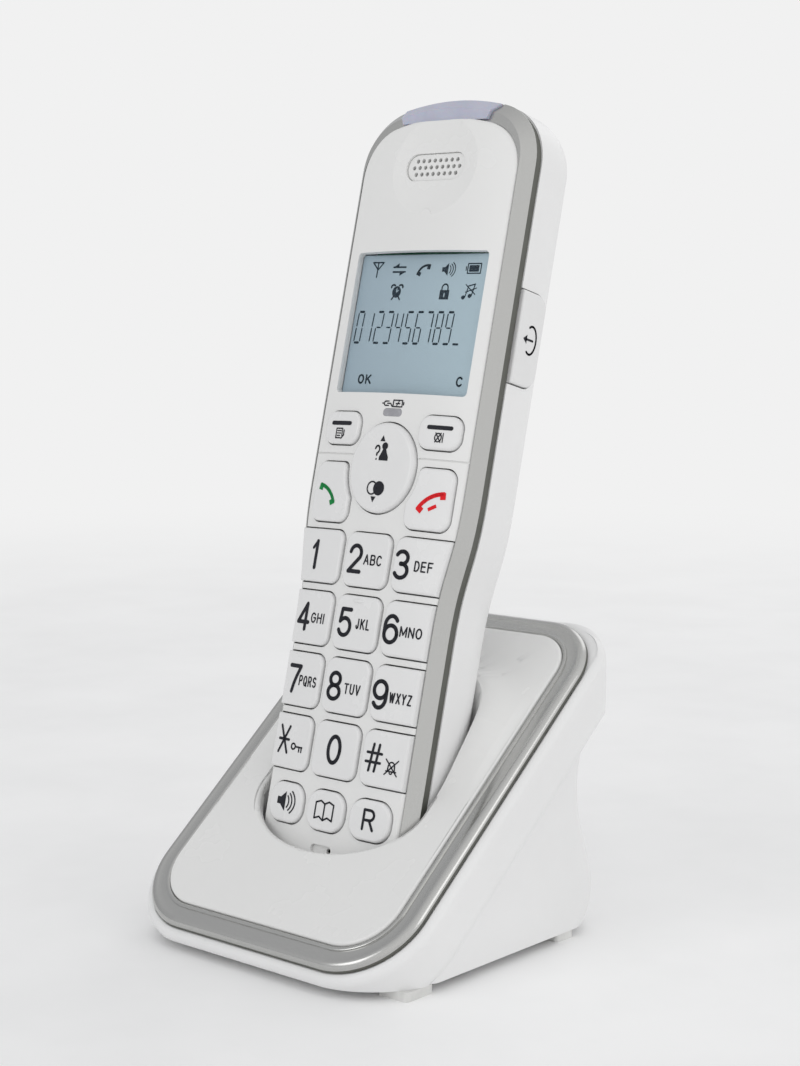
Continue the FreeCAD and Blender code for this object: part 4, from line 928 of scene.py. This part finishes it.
# Charge mark above the lamp: a plug and a battery
chargeMark = drawing(
    (0.3, *arcLine(-2.3, 107.2, 0.5, 0.5, 60, 300, 10)), (0.3, (-3.3, 107.2), (-2.8, 107.2)),
    (0.26, (-2.1, 107.7), (-1.4, 107.7)), (0.26, (-2.1, 106.7), (-1.4, 106.7)),
    (0.3, (-1.8, 107.2), (-0.9, 107.2), (-0.3, 106.5)))
chargeMark += strokeShapes([(-0.1, 106.5), (2.5, 106.5), (2.5, 107.95), (-0.1, 107.95)], 0.3, closed=True)
chargeMark += drawing((0.3, (2.9, 107.0), (2.9, 107.5)), (0.3, (0.7, 107.2), (1.8, 107.2)),
                      (0.26, (1.5, 107.7), (0.95, 106.8)))
printPiece("print_charge_mark", chargeMark, "handset", darkInk, proud=0.0)

# Sign on the side key, laid on the flank: an arrow into a round bracket
sideSet = {"y": 9.4, "z": 124.6, "proud": 0.05}
sideSign = drawing((0.5, *arcLine(0.5, 0, 1.9, 3.1, -120, 120, 18)), (0.5, (1.2, 0.0), (-1.2, 0.0)))
sideSign += [[(-2.2, 0.0), (-0.9, -1.0), (-0.9, 1.0)]]
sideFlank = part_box("side_key")[1].x / mm + sideSet["proud"]
sideMesh, sidePoints = flatMesh("print_side_key", [
    [(sideFlank, p[0], p[1]) for p in shape] for shape in moveShapes(sideSign, sideSet["y"], sideSet["z"])])
sideMesh.vertices.foreach_set("co", toRow(sidePoints, handsetOrigin, handsetAxes).ravel())
sideMesh.update()
addPiece("print_side_key", sideMesh, darkInk, "side_key")
print("prints ready")

# What the panel shows

panelSet = {
    "depth": 1.13, "digitLow": 121.55, "digitHigh": 128.75, "first": -16.95, "pitch": 2.95, "digitWide": 1.75,
    "slant": 0.05, "number": "0123456789",
    "bold": 0.55, "thin": 0.34,           # widths of the top and bottom segments, and of the others
    "endGap": 0.35, "middleGap": 0.4, "cornerGap": 0.45, "waistGap": 0.3,
    "gapProud": 0.01,                     # the clock's hands and the keyhole lie in front of the dark signs
}
segments = {"0": "abcdef", "1": "bc", "2": "abdeg", "3": "abcdg", "4": "bcfg", "5": "acdfg", "6": "acdefg",
            "7": "abc", "8": "abcdefg", "9": "abcdfg"}
panelShapes = []
low, high = panelSet["digitLow"], panelSet["digitHigh"]
middle = (low + high) / 2
bold, thin = panelSet["bold"], panelSet["thin"]
ends, centreEnds = panelSet["endGap"], panelSet["middleGap"]
corner, waist = panelSet["cornerGap"], panelSet["waistGap"]
for index, digit in enumerate(panelSet["number"]):
    x = panelSet["first"] + index * panelSet["pitch"]
    w = panelSet["digitWide"] / 2
    bars = {
        "a": ([(x - w + ends, high), (x + w - ends, high)], bold),
        "d": ([(x - w + ends, low), (x + w - ends, low)], bold),
        "g": ([(x - w + centreEnds, middle), (x + w - centreEnds, middle)], thin),
        "b": ([(x + w, high - corner), (x + w, middle + waist)], thin),
        "c": ([(x + w, middle - waist), (x + w, low + corner)], thin),
        "f": ([(x - w, high - corner), (x - w, middle + waist)], thin),
        "e": ([(x - w, middle - waist), (x - w, low + corner)], thin),
    }
    for letter in segments[digit]:
        line, width = bars[letter]
        line = [(px + (pz - middle) * panelSet["slant"], pz) for px, pz in line]
        panelShapes += strokeShapes(line, width)
panelShapes += drawing((0.5, (11.7, low - 0.02), (12.9, low - 0.02)))
panelShapes += wordShapes("OK", *signPlace["panelOk"], 4.1, 2.3, 0.46)
panelShapes += wordShapes("C", *signPlace["panelC"], 2.0, 2.35, 0.46)
aerial = drawing((0.36, (-1.6, 1.7), (1.6, 1.7), (0.1, 0.0), (-1.6, 1.7)), (0.36, (0, 1.6), (-0.05, -1.75)))
panelShapes += moveShapes(aerial, *signPlace["panelAerial"])
arrows = drawing((0.42, (-1.8, 0.55), (1.8, 0.55))) + [[(-1.9, 0.5), (-0.2, 0.5), (-0.2, 1.5)]]
arrows += drawing((0.42, (-1.8, -0.55), (1.8, -0.55))) + [[(1.9, -0.5), (0.2, -0.5), (0.2, -1.5)]]
panelShapes += moveShapes(arrows, *signPlace["panelArrows"])
panelShapes += moveShapes(receiverShapes(3.9, 0.75, 0.55, (0.95, 0.9)), *signPlace["panelCall"], turn=30)
panelShapes += moveShapes(speaker, *signPlace["panelSpeaker"], 0.66)
battery = strokeShapes([(-1.7, -1.1), (2.0, -1.1), (2.0, 1.1), (-1.7, 1.1)], 0.3, closed=True)
battery += [[(-1.3, -0.75), (1.5, -0.75), (1.5, 0.75), (-1.3, 0.75)]]
battery += drawing((0.3, (-2.15, -0.4), (-2.15, 0.4)))
panelShapes += moveShapes(battery, *signPlace["panelBattery"])
clock = [arcLine(0, 0, 1.3, 1.35, 0, 345, 24)]
clock += drawing((0.4, (-0.8, -1.2), (-1.2, -1.75)), (0.4, (0.8, -1.2), (1.2, -1.75)),
                 (0.45, *arcLine(-1.1, 1.2, 0.6, 0.45, 40, 200, 6)),
                 (0.45, *arcLine(1.1, 1.2, 0.6, 0.45, 140, -20, 6)))
clockHands = moveShapes(drawing((0.24, (0.0, 0.75), (0.0, 0.0), (0.5, 0.35))), *signPlace["panelClock"])
panelShapes += moveShapes(clock, *signPlace["panelClock"])
padlock = [[(-1.35, -1.75), (1.35, -1.75), (1.35, 0.4), (-1.35, 0.4)]]
padlock += drawing((0.36, (-0.85, 0.3), (-0.85, 0.9), *arcLine(0, 0.9, 0.85, 0.85, 180, 0, 9), (0.85, 0.3)))
panelShapes += moveShapes(padlock, *signPlace["panelPadlock"])
keyhole = moveShapes(drawing((0.3, (0, -0.4), (0, -1.1))), *signPlace["panelPadlock"])
tune = [arcLine(-1.5, -1.3, 0.55, 0.48, 0, 330, 12), arcLine(0.3, -0.95, 0.55, 0.48, 0, 330, 12)]
tune += drawing((0.3, (-1.05, -1.3), (-0.35, 1.3), (1.5, 1.7)), (0.3, (0.75, -0.95), (1.4, 1.6)),
                (0.26, (-1.2, 1.6), (1.7, -0.6)), (0.26, (-1.0, -0.1), (1.9, 0.8)))
panelShapes += moveShapes(tune, *signPlace["panelTune"])
printPiece("panel_display", panelShapes, "handset", crystalDark, depth=panelSet["depth"])
printPiece("panel_display_gaps", clockHands + keyhole, "handset", panelGlass,
           depth=panelSet["depth"] - panelSet["gapProud"])
print("panel ready")
